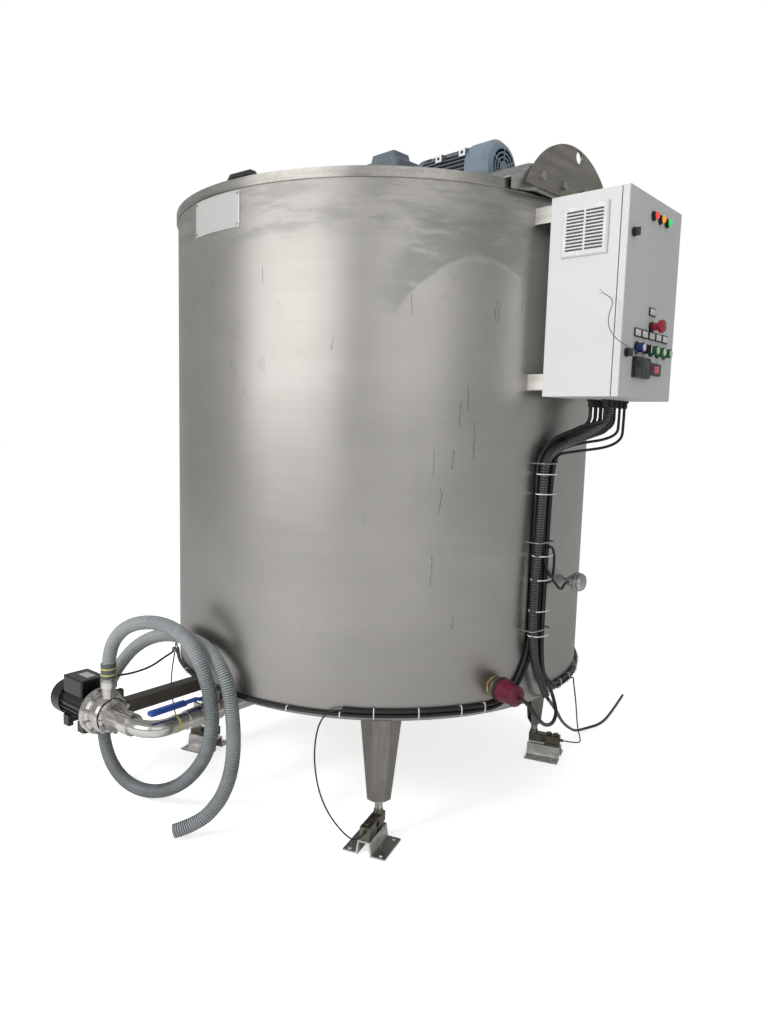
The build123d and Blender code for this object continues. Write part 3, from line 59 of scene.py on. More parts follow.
def sideways(angle):
    return Vector((cos(radians(angle)), sin(radians(angle)), 0))


def spot(angle, out, side, height):
    return outward(angle) * out + sideways(angle) * side + Vector((0, 0, height))


def frameAt(angle, out, side, height):
    # X outwards, Y to the right of someone facing the tank, Z up
    matrix = Matrix((outward(angle), sideways(angle), (0, 0, 1))).transposed().to_4x4()
    matrix.translation = spot(angle, out, side, height)
    return matrix


# camera fitted to the photograph
cameraView = {"place": (-0.0826, -3.0792, 1.4017), "lens": 26.146,
              "pitch": 0.117, "roll": -0.0275, "heading": 0.0307}


def addCamera(view):
    p, r, a = view["pitch"], view["roll"], view["heading"]
    right = Vector((cos(r), -sin(r) * sin(p), -sin(r) * cos(p)))
    up = Vector((sin(r), cos(r) * sin(p), cos(r) * cos(p)))
    back = Vector((0, -cos(p), sin(p)))
    turn = Matrix.Rotation(-a, 3, "Z")
    axes = Matrix((turn @ right, turn @ up, turn @ back)).transposed().to_4x4()
    axes.translation = view["place"]
    data = bpy.data.cameras.new("viewer")
    data.lens = view["lens"]
    data.sensor_width = 36
    data.clip_end = 60
    camera = bpy.data.objects.new("viewer", data)
    camera.matrix_world = axes
    scene.collection.objects.link(camera)
    scene.camera = camera


addCamera(cameraView)


# shader maths
class Field:
    def __init__(self, tree, socket):
        self.tree = tree
        self.socket = socket

    def math(self, kind, other, flip=False, clamp=False):
        first, second = (other, self) if flip else (self, other)
        return self.node("ShaderNodeMath", {"operation": kind, "use_clamp": clamp}, {0: first, 1: second})

    def node(self, kind, settings, inputs, output=0):
        made = self.tree.nodes.new(kind)
        for key, value in settings.items():
            setattr(made, key, value)
        for key, value in inputs.items():
            if isinstance(value, Field):
                self.tree.links.new(value.socket, made.inputs[key])
            else:
                made.inputs[key].default_value = value
        return Field(self.tree, made.outputs[output])

    def __add__(self, other):
        return self.math("ADD", other)

    def __radd__(self, other):
        return self.math("ADD", other, True)

    def __sub__(self, other):
        return self.math("SUBTRACT", other)

    def __rsub__(self, other):
        return self.math("SUBTRACT", other, True)

    def __mul__(self, other):
        return self.math("MULTIPLY", other)

    def __rmul__(self, other):
        return self.math("MULTIPLY", other, True)

    def __gt__(self, other):
        return self.math("GREATER_THAN", other)

    def __lt__(self, other):
        return self.math("LESS_THAN", other)

    def clamp(self):
        return self.math("ADD", 0.0, clamp=True)

    def between(self, low, high):
        # 0 below low, 1 above high
        smooth = {"interpolation_type": "SMOOTHSTEP"}
        return self.node("ShaderNodeMapRange", smooth, {0: self, 1: low, 2: high})

    def fade(self, low, high):
        # 1 below low, 0 above high
        return 1.0 - self.between(low, high)

    def noise(self, scale, detail, rough):
        inputs = {"Vector": self, "Scale": scale, "Detail": detail, "Roughness": rough}
        return self.node("ShaderNodeTexNoise", {}, inputs)

    def stretch(self, x, y, z):
        return self.node("ShaderNodeVectorMath", {"operation": "MULTIPLY"}, {0: self, 1: (x, y, z)})

    def mix(self, first, second):
        colors = [(*color, 1) if isinstance(color, tuple) else color for color in (first, second)]
        inputs = {0: self, 6: colors[0], 7: colors[1]}
        return self.node("ShaderNodeMix", {"data_type": "RGBA"}, inputs, 2)


class Finish:
    def __init__(self, name, color, roughness, metallic=0.0, **sockets):
        self.material = bpy.data.materials.new(name)
        self.material.use_nodes = True
        self.tree = self.material.node_tree
        self.shader = self.tree.nodes["Principled BSDF"]
        self.material.diffuse_color = (*color, 1)
        self.set("Base Color", color)
        self.set("Roughness", roughness)
        self.set("Metallic", metallic)
        for key, value in sockets.items():
            self.set(key.replace("_", " "), value)
        coords = self.tree.nodes.new("ShaderNodeTexCoord")
        self.place = Field(self.tree, coords.outputs["Object"])
        self.sheet = Field(self.tree, coords.outputs["UV"])

    def set(self, socket, value):
        if isinstance(value, Field):
            self.tree.links.new(value.socket, self.shader.inputs[socket])
        elif isinstance(value, tuple):
            self.shader.inputs[socket].default_value = (*value, 1)
        else:
            self.shader.inputs[socket].default_value = value

    def bump(self, height, strength, distance):
        inputs = {"Height": height, "Strength": strength, "Distance": distance}
        self.set("Normal", self.place.node("ShaderNodeBump", {}, inputs))

    def axes(self):
        split = self.tree.nodes.new("ShaderNodeSeparateXYZ")
        self.tree.links.new(self.place.socket, split.inputs[0])
        return [Field(self.tree, split.outputs[i]) for i in range(3)]


def joinAxes(finish, x, y, z):
    return finish.place.node("ShaderNodeCombineXYZ", {}, {0: x, 1: y, 2: z})


shellLook = {
    "bright": (0.60, 0.58, 0.55), "dark": (0.50, 0.485, 0.455), "rough": 0.36, "perDegree": 0.014,
    # what lies over the steel, with a painted highlight along the swipe's lower edge and painted shade low
    # down: strength and colour
    "layers": {"polish": (0.46, (0.36, 0.35, 0.335)), "swipe": (0.55, (0.35, 0.345, 0.33)),
               "swipeHighlight": (0.28, (0.80, 0.79, 0.77)), "stain": (0.30, (0.33, 0.33, 0.29)),
               "marks": (0.50, (0.12, 0.115, 0.10)), "heat": (0.55, (0.50, 0.40, 0.26)),
               "lowShade": (0.60, (0.27, 0.26, 0.245))}}
# a swipe of a polishing pad under the rim: middle and crown of its arch, and where it and the painted
# highlight along its lower edge fade
padSwipe = {"middle": 19.5, "crown": 1.90, "curve": 0.00045, "waver": 0.03, "floor": 1.735, "slope": 0.004,
            "lowerEnd": (-0.012, 0.022), "leftEnd": (-9.0, 5.0), "rightEnd": (28.0, 33.0),
            "upperEnd": (1.99, 2.08), "smears": (0.30, 0.50), "highlightBelow": (-0.006, 0.002),
            "highlightAbove": (0.004, 0.018), "highlightLeft": (0.0, 6.0), "highlightRight": (27.0, 31.0)}
# thin runs and scratches, as angle in degrees, lower and upper height
shellMarks = {
    "waver": 2.6, "width": (0.04, 0.20),
    "places": ((3.8, 1.73, 1.79), (22.9, 1.735, 1.79), (23.7, 1.72, 1.785), (29.9, 1.76, 1.86),
               (17.0, 1.45, 1.53), (15.2, 1.40, 1.475), (13.8, 1.27, 1.33), (9.9, 1.25, 1.33),
               (11.3, 1.13, 1.21), (10.0, 0.90, 1.0), (15.3, 0.76, 0.81), (-30.2, 1.83, 1.88),
               (-13.0, 1.62, 1.66), (19.0, 1.30, 1.42))}
# discoloured steel round the heater socket: the squares of the distances that it fades between
heatRing = (0.0016, 0.0050)


def drawSwipe(swipe, angle, z, smears, stains):
    across = angle - swipe["middle"]
    arch = swipe["crown"] - across * across * swipe["curve"] + (stains - 0.5) * swipe["waver"]
    above = z - arch.math("MAXIMUM", swipe["floor"] - angle * swipe["slope"])
    inside = above.between(*swipe["lowerEnd"]) * (angle * -0.02 - (1.95 - z)).fade(-0.12, 0.02)
    inside = inside * smears.between(*swipe["smears"]) * angle.between(*swipe["leftEnd"])
    inside = inside * angle.fade(*swipe["rightEnd"]) * z.fade(*swipe["upperEnd"])
    # painted highlight: a bright line along the lower edge of the swipe
    edge = above.between(*swipe["highlightBelow"]) * above.fade(*swipe["highlightAbove"])
    edge = edge * angle.between(*swipe["highlightLeft"]) * angle.fade(*swipe["highlightRight"])
    return inside, edge


def drawMarks(marks, angle, z, stains):
    wobble = angle + (stains - 0.5) * marks["waver"]
    drawn = 0.0
    for place, low, high in marks["places"]:
        line = (wobble - place).math("ABSOLUTE", 0.0).fade(*marks["width"])
        drawn = line * (z > low) * (z < high) + drawn
    return drawn.clamp()


def drawHeat(ring, angle, z):
    across = (angle - heaterAngle) * (shellRadius * pi / 180)
    up = z - heaterHeight
    return (across * across + up * up).fade(*ring)


def makeShellSteel(look):
    steel = Finish("shellSteel", look["bright"], look["rough"], 1.0)
    x, y, z = steel.axes()
    angle = x.math("ARCTAN2", y * -1.0) * (180 / pi)    # its seam is at the back
    wrapped = joinAxes(steel, angle * look["perDegree"], z, 0.0)
    brushing = wrapped.stretch(1.4, 520.0, 1.0).noise(1.0, 3.0, 0.6)
    bands = wrapped.stretch(1.6, 6.0, 1.0).noise(1.0, 5.0, 0.6)
    clouds = wrapped.stretch(2.2, 1.6, 1.0).noise(1.0, 4.0, 0.55)
    smears = wrapped.stretch(7.0, 26.0, 1.0).noise(1.0, 4.0, 0.62)
    stains = wrapped.stretch(16.0, 11.0, 1.0).noise(1.0, 3.0, 0.6)
    top = (z + (smears - 0.5) * 0.16).between(1.93, 2.02)
    swipe, swipeHighlight = drawSwipe(padSwipe, angle, z, smears, stains)
    layers = {
        "polish": top * smears.between(0.44, 0.62), "swipe": swipe, "swipeHighlight": swipeHighlight,
        "stain": stains.between(0.60, 0.70) * clouds.between(0.48, 0.60),
        "marks": drawMarks(shellMarks, angle, z, stains), "heat": drawHeat(heatRing, angle, z),
        # lowShade is painted shade: the steel darker towards the bottom
        "lowShade": (z + (clouds - 0.5) * 0.1).fade(0.50, 1.05)}
    tone = (brushing * 0.30 + bands * 0.25 + clouds * 0.45).between(0.36, 0.64)
    color = tone.mix(look["dark"], look["bright"])
    for layer, amount in layers.items():
        strength, tint = look["layers"][layer]
        color = (amount * strength).mix(color, tint)
    steel.set("Base Color", color)
    grain = brushing * 0.06 + clouds * 0.06
    steel.set("Roughness", look["rough"] - 0.05 + grain + top * smears * 0.12 + swipe * 0.08)
    steel.bump(brushing + smears * top * 0.3, 0.07, 0.0004)
    return steel.material


steelDirt = (0.16, 0.15, 0.13)


def makeSteel(name, color, rough, grain, wear):
    # grain is how fine the brushing is along x, y and z
    steel = Finish(name, color, rough, 1.0)
    lines = steel.place.stretch(*grain).noise(1.0, 3.0, 0.6)
    clouds = steel.place.noise(9.0, 5.0, 0.6)
    spots = steel.place.noise(60.0, 3.0, 0.6)
    tone = (clouds * 0.6 + spots * 0.4).between(0.42, 0.66) * wear
    dim = tuple(c * 0.72 for c in color)
    steel.set("Base Color", tone.mix(lines.between(0.3, 0.7).mix(dim, color), steelDirt))
    steel.set("Roughness", rough - 0.06 + lines * 0.12 + clouds * 0.08)
    steel.bump(lines + spots * 0.5, 0.16, 0.0005)
    return steel.material


def makePaint(name, color, rough, peel, grainScale, dust, metallic=0.0, coat=0.0):
    paint = Finish(name, color, rough, metallic, Coat_Weight=coat)
    grain = paint.place.noise(grainScale, 2.0, 0.5)
    clouds = paint.place.noise(5.0, 4.0, 0.55)
    dull = tuple(c * 0.82 for c in color)
    paint.set("Base Color", (clouds.between(0.35, 0.7) * dust * 4.0).clamp().mix(color, dull))
    paint.set("Roughness", rough - 0.05 + grain * 0.1 + clouds * 0.06)
    paint.bump(grain, peel, 0.0006)
    return paint.material


def makePlastic(name, color, rough, grainScale=600.0, bump=0.08, **sockets):
    plastic = Finish(name, color, rough, 0.0, **sockets)
    grain = plastic.place.noise(grainScale, 2.0, 0.5)
    scuff = plastic.place.noise(30.0, 4.0, 0.65)
    pale = tuple(min(1.0, c * 1.25 + 0.012) for c in color)
    plastic.set("Base Color", scuff.between(0.5, 0.75).mix(color, pale))
    plastic.set("Roughness", rough - 0.04 + scuff * 0.12)
    plastic.bump(grain, bump, 0.0004)
    return plastic.material


def makeWool():
    wool = Finish("mineralWool", (0.62, 0.53, 0.28), 0.95)
    fibres = wool.place.stretch(30.0, 30.0, 220.0).noise(1.0, 5.0, 0.7)
    wool.set("Base Color", fibres.mix((0.42, 0.34, 0.15), (0.75, 0.66, 0.40)))
    wool.bump(fibres, 0.7, 0.004)
    return wool.material


def makeRibbed(name, dark, pale, ridgeHighlight, strength, rough):
    # the sheet coordinate counts the ribs along the tube
    tube = Finish(name, pale, rough, 0.0, Coat_Weight=0.5, Coat_Roughness=0.10)
    clouds = tube.place.noise(7.0, 4.0, 0.6)
    along = tube.sheet.node("ShaderNodeSeparateXYZ", {}, {0: tube.sheet}, 1)
    wave = (along * 2 * pi).math("SINE", 0.0) * 0.5 + 0.5
    base = clouds.between(0.35, 0.68).mix(dark, pale)
    # painted highlight on the crest of each rib
    tube.set("Base Color", (wave.between(0.30, 0.95) * strength).mix(base, ridgeHighlight))
    tube.set("Roughness", rough + clouds * 0.16)
    tube.bump(clouds, 0.08, 0.001)
    return tube.material


def makeTinted():
    # the weld bead of the heater socket, straw coloured by its heat
    tint = Finish("heatTint", (0.50, 0.40, 0.24), 0.3, 1.0)
    clouds = tint.place.noise(45.0, 4.0, 0.6)
    tint.set("Base Color", clouds.between(0.3, 0.7).mix((0.34, 0.22, 0.10), (0.62, 0.52, 0.34)))
    tint.bump(clouds, 0.15, 0.0005)
    return tint.material


finishes = {
    "shell": makeShellSteel(shellLook),
    "sheet": makeSteel("sheetSteel", (0.64, 0.64, 0.625), 0.31, (5.0, 5.0, 60.0), 0.18),
    "plate": makeSteel("plateSteel", (0.45, 0.43, 0.375), 0.38, (4.0, 4.0, 40.0), 0.18),
    "vessel": makeSteel("vesselSteel", (0.58, 0.58, 0.57), 0.28, (8.0, 8.0, 160.0), 0.15),
    # leg steel, darkened with painted shade for the tank's shadow over the legs
    "leg": makeSteel("shadedLegSteel", (0.30, 0.285, 0.26), 0.36, (30.0, 30.0, 4.0), 0.3),
    "cell": makeSteel("cellSteel", (0.22, 0.21, 0.16), 0.30, (12.0, 12.0, 60.0), 0.5),
    "saddle": makeSteel("saddleSteel", (0.90, 0.89, 0.87), 0.20, (18.0, 18.0, 30.0), 0.35),
    "bolt": makeSteel("boltSteel", (0.58, 0.57, 0.55), 0.28, (40.0, 40.0, 200.0), 0.3),
    "turned": makeSteel("turnedSteel", (0.60, 0.60, 0.59), 0.24, (20.0, 20.0, 300.0), 0.15),
    "pump": makeSteel("pumpSteel", (0.76, 0.74, 0.70), 0.20, (10.0, 10.0, 40.0), 0.10),
    "pipe": makeSteel("pipeSteel", (0.82, 0.80, 0.76), 0.20, (8.0, 8.0, 120.0), 0.12),
    "head": makeSteel("castHead", (0.62, 0.62, 0.62), 0.33, (30.0, 30.0, 30.0), 0.3),
    "box": makePaint("boxPaint", (0.645, 0.66, 0.655), 0.42, 0.30, 380.0, 0.04),
    "drive": makePaint("drivePaint", (0.15, 0.18, 0.205), 0.36, 0.18, 160.0, 0.12, 0.2, 0.25),
    "fan": makePaint("fanPaint", (0.24, 0.31, 0.37), 0.30, 0.12, 160.0, 0.10, 0.35, 0.3),
    "motor": makePaint("pumpMotorPaint", (0.009, 0.009, 0.010), 0.30, 0.2, 150.0, 0.15, 0.0, 0.2),
    "bare": makePaint("barePlate", (0.53, 0.53, 0.52), 0.30, 0.1, 200.0, 0.05, 0.35),
    "white": makePaint("whitePad", (0.78, 0.79, 0.78), 0.5, 0.15, 300.0, 0.05),
    "gear": makePaint("switchgear", (0.45, 0.46, 0.46), 0.5, 0.1, 300.0, 0.05),
    "black": makePlastic("blackPlastic", (0.018, 0.018, 0.019), 0.42),
    "gloss": makePlastic("glossBlack", (0.016, 0.017, 0.018), 0.28),
    "louvre": makePlastic("louvrePlastic", (0.64, 0.655, 0.645), 0.5),
    "blue": makePlastic("bluePlastic", (0.012, 0.02, 0.16), 0.3, Coat_Weight=0.3),
    "green": makePlastic("greenPlastic", (0.01, 0.13, 0.045), 0.3, Coat_Weight=0.3),
    "red": makePlastic("redPlastic", (0.36, 0.012, 0.03), 0.32, Coat_Weight=0.3),
    "burgundy": makePlastic("burgundyPlastic", (0.115, 0.006, 0.027), 0.34, Coat_Weight=0.15),
    "leverBlue": makePlastic("leverBlue", (0.012, 0.06, 0.32), 0.3, Coat_Weight=0.3),
    "paleGreen": makePlastic("paleGreen", (0.55, 0.80, 0.42), 0.35),
    "tie": makePlastic("tieWhite", (0.72, 0.73, 0.73), 0.4),
    "yellow": makePlastic("tieYellow", (0.60, 0.60, 0.11), 0.45),
    "cable": makePlastic("cableBlack", (0.012, 0.012, 0.013), 0.30, 300.0, 0.12),
    "greyCable": makePlastic("cableGrey", (0.12, 0.125, 0.13), 0.38, 300.0, 0.1),
    "copper": makeSteel("copperCore", (0.72, 0.33, 0.20), 0.3, (60.0, 60.0, 60.0), 0.1),
    "tint": makeTinted(),
    "wool": makeWool(),
    # the third colour of each ribbed tube is a painted highlight on its rib crests
    "hose": makeRibbed("ribbedHose", (0.070, 0.083, 0.087), (0.15, 0.17, 0.175),
                       (0.40, 0.43, 0.435), 0.8, 0.20),
    "conduit": makeRibbed("ribbedConduit", (0.010, 0.010, 0.010), (0.016, 0.016, 0.016),
                          (0.10, 0.10, 0.10), 0.9, 0.22),
    "rim": makeSteel("rimSteel", (0.62, 0.60, 0.56), 0.26, (3.0, 3.0, 60.0), 0.25),
    # pump arm steel, darkened with painted shade for the shadow it lies in
    "arm": makeSteel("shadedArmSteel", (0.12, 0.11, 0.097), 0.36, (30.0, 30.0, 6.0), 0.25),
    "bracket": makeSteel("bracketSteel", (0.80, 0.785, 0.74), 0.28, (4.0, 4.0, 40.0), 0.15),
    "cuff": makePlastic("hoseCuff", (0.085, 0.10, 0.105), 0.36, 200.0, 0.15),
    "felt": makePaint("filterFelt", (0.20, 0.205, 0.20), 0.9, 0.6, 900.0, 0.2),
}


def makeGlow(name, color, strength):
    lamp = Finish(name, color, 0.2, 0.0, Coat_Weight=0.4)
    facets = lamp.place.noise(300.0, 2.0, 0.5)
    lamp.set("Base Color", facets.between(0.3, 0.7).mix(tuple(c * 0.7 for c in color), color))
    lamp.set("Emission Color", color)
    lamp.set("Emission Strength", strength)
    return lamp.material


finishes["lampRed"] = makeGlow("lampRed", (0.85, 0.05, 0.04), 0.6)
finishes["lampOrange"] = makeGlow("lampOrange", (0.90, 0.33, 0.03), 0.6)
finishes["lampGreen"] = makeGlow("lampGreen", (0.05, 0.75, 0.16), 0.5)
finishes["digits"] = makeGlow("digitRed", (0.95, 0.04, 0.10), 1.2)
finishes["window"] = makeGlow("displayWindow", (0.20, 0.012, 0.02), 0.15)
print("finishes ready", len(finishes))

nodeFinishes = {
    "outer_shell": "shell", "insulation": "wool", "jacket": "vessel", "inner_vessel": "vessel",
    "top_ring": "rim", "fixed_cover": "sheet", "hinged_lid": "sheet", "lid_handle": "black",
    "lid_hinges": "bolt", "bridge": "sheet", "lifting_plates": "plate", "steel_bolts": "bolt",
    "gearbox": "drive", "motor_housing": "drive", "motor_fan_cover": "fan", "motor_rotor": "turned",
    "agitator": "turned", "bottom_bearing": "turned", "legs": "leg", "load_cells": "cell",
    "load_cell_saddles": "saddle", "enclosure_body": "box", "enclosure_door": "box",
    "door_hinges": "black", "enclosure_brackets": "bracket", "mounting_plate": "gear",
    "filter_grille": "louvre", "door_lock_lower": "black", "door_lock_upper": "black",
    "blue_button": "blue", "selector_switch": "black", "green_button_1": "green",
    "green_button_2": "green", "green_button_3": "green", "stop_button": "red", "door_fittings": "black",
    "door_instruments": "gloss", "cable_glands": "black", "heater_element": "turned",
    "heater_cap": "burgundy", "temperature_sensor": "head", "pump_casing": "pump",
    "pump_impeller": "turned", "pump_motor": "motor", "pump_arm": "arm", "suction_pipe": "pipe",
    "valve_body": "pump", "valve_lever": "leverBlue", "outlet_pipe": "pipe", "cable_loom": "cable",
    "cable_hooks": "bolt", "hose": "hose", "mains_lead": "cable", "front_cell_lead": "cable",
    "right_cell_lead": "cable", "left_cell_lead": "cable", "pump_lead": "cable", "heater_lead": "cable",
    "instrument_wire": "greyCable"}
for nodeName, finishName in nodeFinishes.items():
    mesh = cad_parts[nodeName].data
    mesh.materials.clear()
    mesh.materials.append(finishes[finishName])
print("CAD nodes dressed", len(nodeFinishes))


def clearSelection():
    if bpy.context.object and bpy.context.object.mode != "OBJECT":
        bpy.ops.object.mode_set(mode="OBJECT")
    bpy.ops.object.select_all(action="DESELECT")


softEdge = radians(35)    # edges flatter than this are shaded smooth


def settle(piece, finish, body, matrix=Matrix.Identity(4)):
    # puts the place into the mesh, gives the finish and the body
    mesh = piece.data
    mesh.transform(matrix @ piece.matrix_basis)
    piece.matrix_basis = Matrix.Identity(4)
    mesh.materials.clear()
    mesh.materials.append(finishes[finish])
    clearSelection()
    piece.select_set(True)
    bpy.context.view_layer.objects.active = piece
    bpy.ops.object.shade_smooth_by_angle(angle=softEdge)
    clearSelection()
    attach(piece, body)


def addBlock(name, size, bevel, segments=2):
    clearSelection()
    bpy.ops.mesh.primitive_cube_add(size=1)
    piece = bpy.context.object
    piece.name = name
    piece.data.transform(Matrix.Diagonal((*size, 1)))
    edges = piece.modifiers.new("edges", "BEVEL")
    edges.width = bevel
    edges.segments = segments
    bpy.ops.object.modifier_apply(modifier="edges")
    return piece


def addRing(name, radius, thick, around):
    clearSelection()
    bpy.ops.mesh.primitive_torus_add(major_radius=radius, minor_radius=thick, major_segments=around,
                                     minor_segments=10)
    piece = bpy.context.object
    piece.name = name
    return piece


def addDisc(name, radius, height, bevel, sides=32):
    clearSelection()
    bpy.ops.mesh.primitive_cylinder_add(vertices=sides, radius=radius, depth=height)
    piece = bpy.context.object
    piece.name = name
    edges = piece.modifiers.new("edges", "BEVEL")
    edges.width = bevel
    edges.segments = 2
    edges.angle_limit = radians(50)
    bpy.ops.object.modifier_apply(modifier="edges")
    return piece


lieOut = Matrix.Rotation(pi / 2, 4, "Y")    # a disc's axis turned outwards

lineSteps = 14    # points of a line between two of its control points
ribRings = 6      # rings of the mesh in each rib of a tube


def smoothLine(name, points):
    curve = bpy.data.curves.new(name, "CURVE")
    curve.dimensions = "3D"
    curve.resolution_u = lineSteps
    spline = curve.splines.new("NURBS")
    spline.points.add(len(points) - 1)
    for knot, place in zip(spline.points, points):
        knot.co = (*place, 1)
    spline.order_u = 3
    spline.use_endpoint_u = True
    carrier = bpy.data.objects.new(name, curve)
    scene.collection.objects.link(carrier)
    mesh = bpy.data.meshes.new_from_object(carrier)
    line = [v.co.copy() for v in mesh.vertices]
    bpy.data.objects.remove(carrier)
    bpy.data.curves.remove(curve)
    return line


def evenLine(line, step):
    lengths = [0.0]
    for a, b in zip(line, line[1:]):
        lengths.append(lengths[-1] + (b - a).length)
    count = max(2, round(lengths[-1] / step))
    even, k = [], 0
    for i in range(count + 1):
        want = lengths[-1] * i / count
        while k < len(lengths) - 2 and lengths[k + 1] < want:
            k += 1
        part = (want - lengths[k]) / max(1e-9, lengths[k + 1] - lengths[k])
        even.append(line[k].lerp(line[k + 1], min(1.0, part)))
    return even, lengths[-1]


def makeTube(name, line, radius, rib=0.0, pitch=0.0, sides=14, step=0.006):
    # rib is the depth of its ribs and pitch their distance, 0 for a plain tube
    even, length = evenLine(line, pitch / ribRings if pitch else step)
    mesh = bpy.data.meshes.new(name)
    bm = bmesh.new()
    sheet = bm.loops.layers.uv.new("along")
    tangent = (even[1] - even[0]).normalized()
    side = tangent.orthogonal().normalized()
    rings = []
    for i, place in enumerate(even):
        ahead = (even[min(i + 1, len(even) - 1)] - even[max(i - 1, 0)]).normalized()
        side = (side - ahead * side.dot(ahead)).normalized()
        over = ahead.cross(side)
        width = radius - rib * (0.5 - 0.5 * cos(2 * pi * i / ribRings))
        turns = [2 * pi * k / sides for k in range(sides)]
        ring = [place + (side * cos(turn) + over * sin(turn)) * width for turn in turns]
        rings.append([bm.verts.new(corner) for corner in ring])
    for i, (low, high) in enumerate(zip(rings, rings[1:])):
        for k in range(sides):
            face = bm.faces.new((low[k], low[(k + 1) % sides], high[(k + 1) % sides], high[k]))
            face.smooth = True
            for loop, (u, v) in zip(face.loops, ((k, i), (k + 1, i), (k + 1, i + 1), (k, i + 1))):
                loop[sheet].uv = (u / sides, v / ribRings)
    bm.faces.new(list(reversed(rings[0])))
    bm.faces.new(rings[-1])
    bmesh.ops.recalc_face_normals(bm, faces=bm.faces)
    bm.to_mesh(mesh)
    bm.free()
    piece = bpy.data.objects.new(name, mesh)
    scene.collection.objects.link(piece)
    return piece, even, length


pumpPlace = Vector((-1.012, -0.433, 0.333))    # middle of the pump's flange, on its axis
cellPlace = {"radius": 0.690, "turn": -25, "length": 0.126, "height": 0.078}


def pumpPoint(along, line, height):
    return pumpPlace + outward(pumpAngle) * along + outward(pumpAngle + 90) * line + Vector((0, 0, height))


def cellExit(angle, distance):
    # end of the load cell of one leg, in millimetres
    reach = outward(angle + cellPlace["turn"]) * (cellPlace["length"] + distance)
    return tuple((outward(angle) * cellPlace["radius"] + reach + Vector((0, 0, cellPlace["height"]))) * 1000)


# the front lead follows the ring of cables, which lies 0.8 mm off the shell, as chords of 12 degrees
ringRadius = 6.2
ringOut = (shellRadius * 1000 + ringRadius + 0.8) / cos(radians(6))
ringTail = spot(-9, ringOut, 0, 500)
ringAhead = ringTail + (ringTail - spot(0.75, ringOut, 0, 500)).normalized() * 36
capEnd = shellRadius * 1000 + 22 + 0.3 + 14 + 0.3 + 92    # socket, collar and cap of the heater
hoseFoot = pumpPoint(0.044, 0, 0)
# points in millimetres, the same as in the part
cordSettings = {
    "hose": {"points": [(hoseFoot.x * 1000, hoseFoot.y * 1000, 470),
             (hoseFoot.x * 1000, hoseFoot.y * 1000, 540),
             (-952, -478, 618), (-894, -510, 676), (-812, -548, 704), (-728, -588, 702), (-654, -645, 674),
             (-604, -684, 611), (-577, -686, 534), (-568, -668, 450), (-569, -654, 366), (-588, -630, 276),
             (-634, -590, 187), (-706, -543, 104), (-802, -490, 50), (-902, -430, 36), (-985, -370, 64),
             (-1044, -312, 128), (-1072, -262, 212), (-1072, -232, 300), (-1046, -226, 386), (-998, -240, 462),
             (-936, -278, 532), (-860, -330, 584), (-772, -402, 618), (-684, -512, 636), (-612, -590, 637),
             (-555, -648, 604), (-511, -688, 539), (-494, -703, 454), (-487, -706, 364), (-490, -704, 276),
             (-508, -696, 190), (-545, -694, 112), (-606, -704, 54), (-684, -712, 30)],
             "radius": 0.0245, "rib": 0.0018, "pitch": 0.0076, "sides": 24, "finish": "hose",
             "stiffness": "limp", "lay": "loose", "end": "bare"},
    "mains_lead": {"points": [tuple(spot(loomAngle, 848, 58, 480)), (648, -470, 382), (706, -330, 290),
                   (775, -160, 196), (850, 25, 104), (920, 160, 32), (995, 250, 8), (1090, 310, 7),
                   (1190, 460, 7), (1330, 700, 7)],
                   "radius": 0.006, "finish": "cable", "stiffness": "medium", "lay": "loose", "end": "bare"},
    "front_cell_lead": {"points": [tuple(ringTail), tuple(ringAhead), (-199, -808, 462),
                        (-213, -813, 395), (-213, -813, 315), (-197, -813, 225), (-162, -817, 148),
                        (-108, -836, 92), cellExit(0, 0.044), cellExit(0, 0)],
                        "radius": 0.0026, "finish": "cable", "stiffness": "limp", "lay": "hanging"},
    "right_cell_lead": {"points": [tuple(spot(59.5, 838, 0, 468)), (738, -410, 400), (766, -340, 320),
                        (800, -250, 230), (838, -168, 150), (862, -112, 98), cellExit(90, 0.044),
                        cellExit(90, 0)],
                        "radius": 0.0026, "finish": "cable", "stiffness": "limp", "lay": "hanging"},
    "left_cell_lead": {"points": [tuple(spot(-85, 838, 0, 470)), (-850, -66, 390), (-862, -50, 300),
                       (-866, 0, 200), (-866, 44, 122), cellExit(270, 0.044), cellExit(270, 0)],
                       "radius": 0.0026, "finish": "cable", "stiffness": "limp", "lay": "hanging"},
    "pump_lead": {"points": [tuple(pumpPoint(a / 1000, b / 1000, c / 1000) * 1000) for a, b, c in (
                  (-119.6, 64, 76), (-119.6, 92, 76), (-94, 120, 80), (-52, 170, 90), (-44, 240, 100),
                  (-62, 310, 116))] + [tuple(spot(-80, 840, 0, 470))],
                  "radius": 0.004, "finish": "cable", "stiffness": "limp", "lay": "hanging"},
    "heater_lead": {"points": [tuple(spot(heaterAngle, capEnd, 0, heaterHeight * 1000)),
                    tuple(spot(heaterAngle, capEnd + 34, 0, heaterHeight * 1000)), (482, -866, 504),
                    (520, -822, 462), (562, -768, 452), (584, -716, 486),
                    tuple(spot(loomAngle, 868, 22, 560))],
                    "radius": 0.006, "finish": "cable", "stiffness": "limp", "lay": "hanging"},
    "instrument_wire": {"points": [tuple(spot(boxAngle, *place)) for place in (
                        (1105, -91, 1606), (1126, -92, 1607), (1134, -122, 1616), (1131, -162, 1629),
                        (1118, -200, 1642), (1094, -228, 1660), (1072, -238, 1688), (1064, -240, 1720),
                        (1068, -235, 1748), (1073, -230, 1768), (1064, -233, 1786), (1048, -240, 1795))],
                        "radius": 0.0013, "finish": "greyCable", "stiffness": "limp", "lay": "hanging",
                        "end": "bare", "body": "door"},
}
cordLines = {}
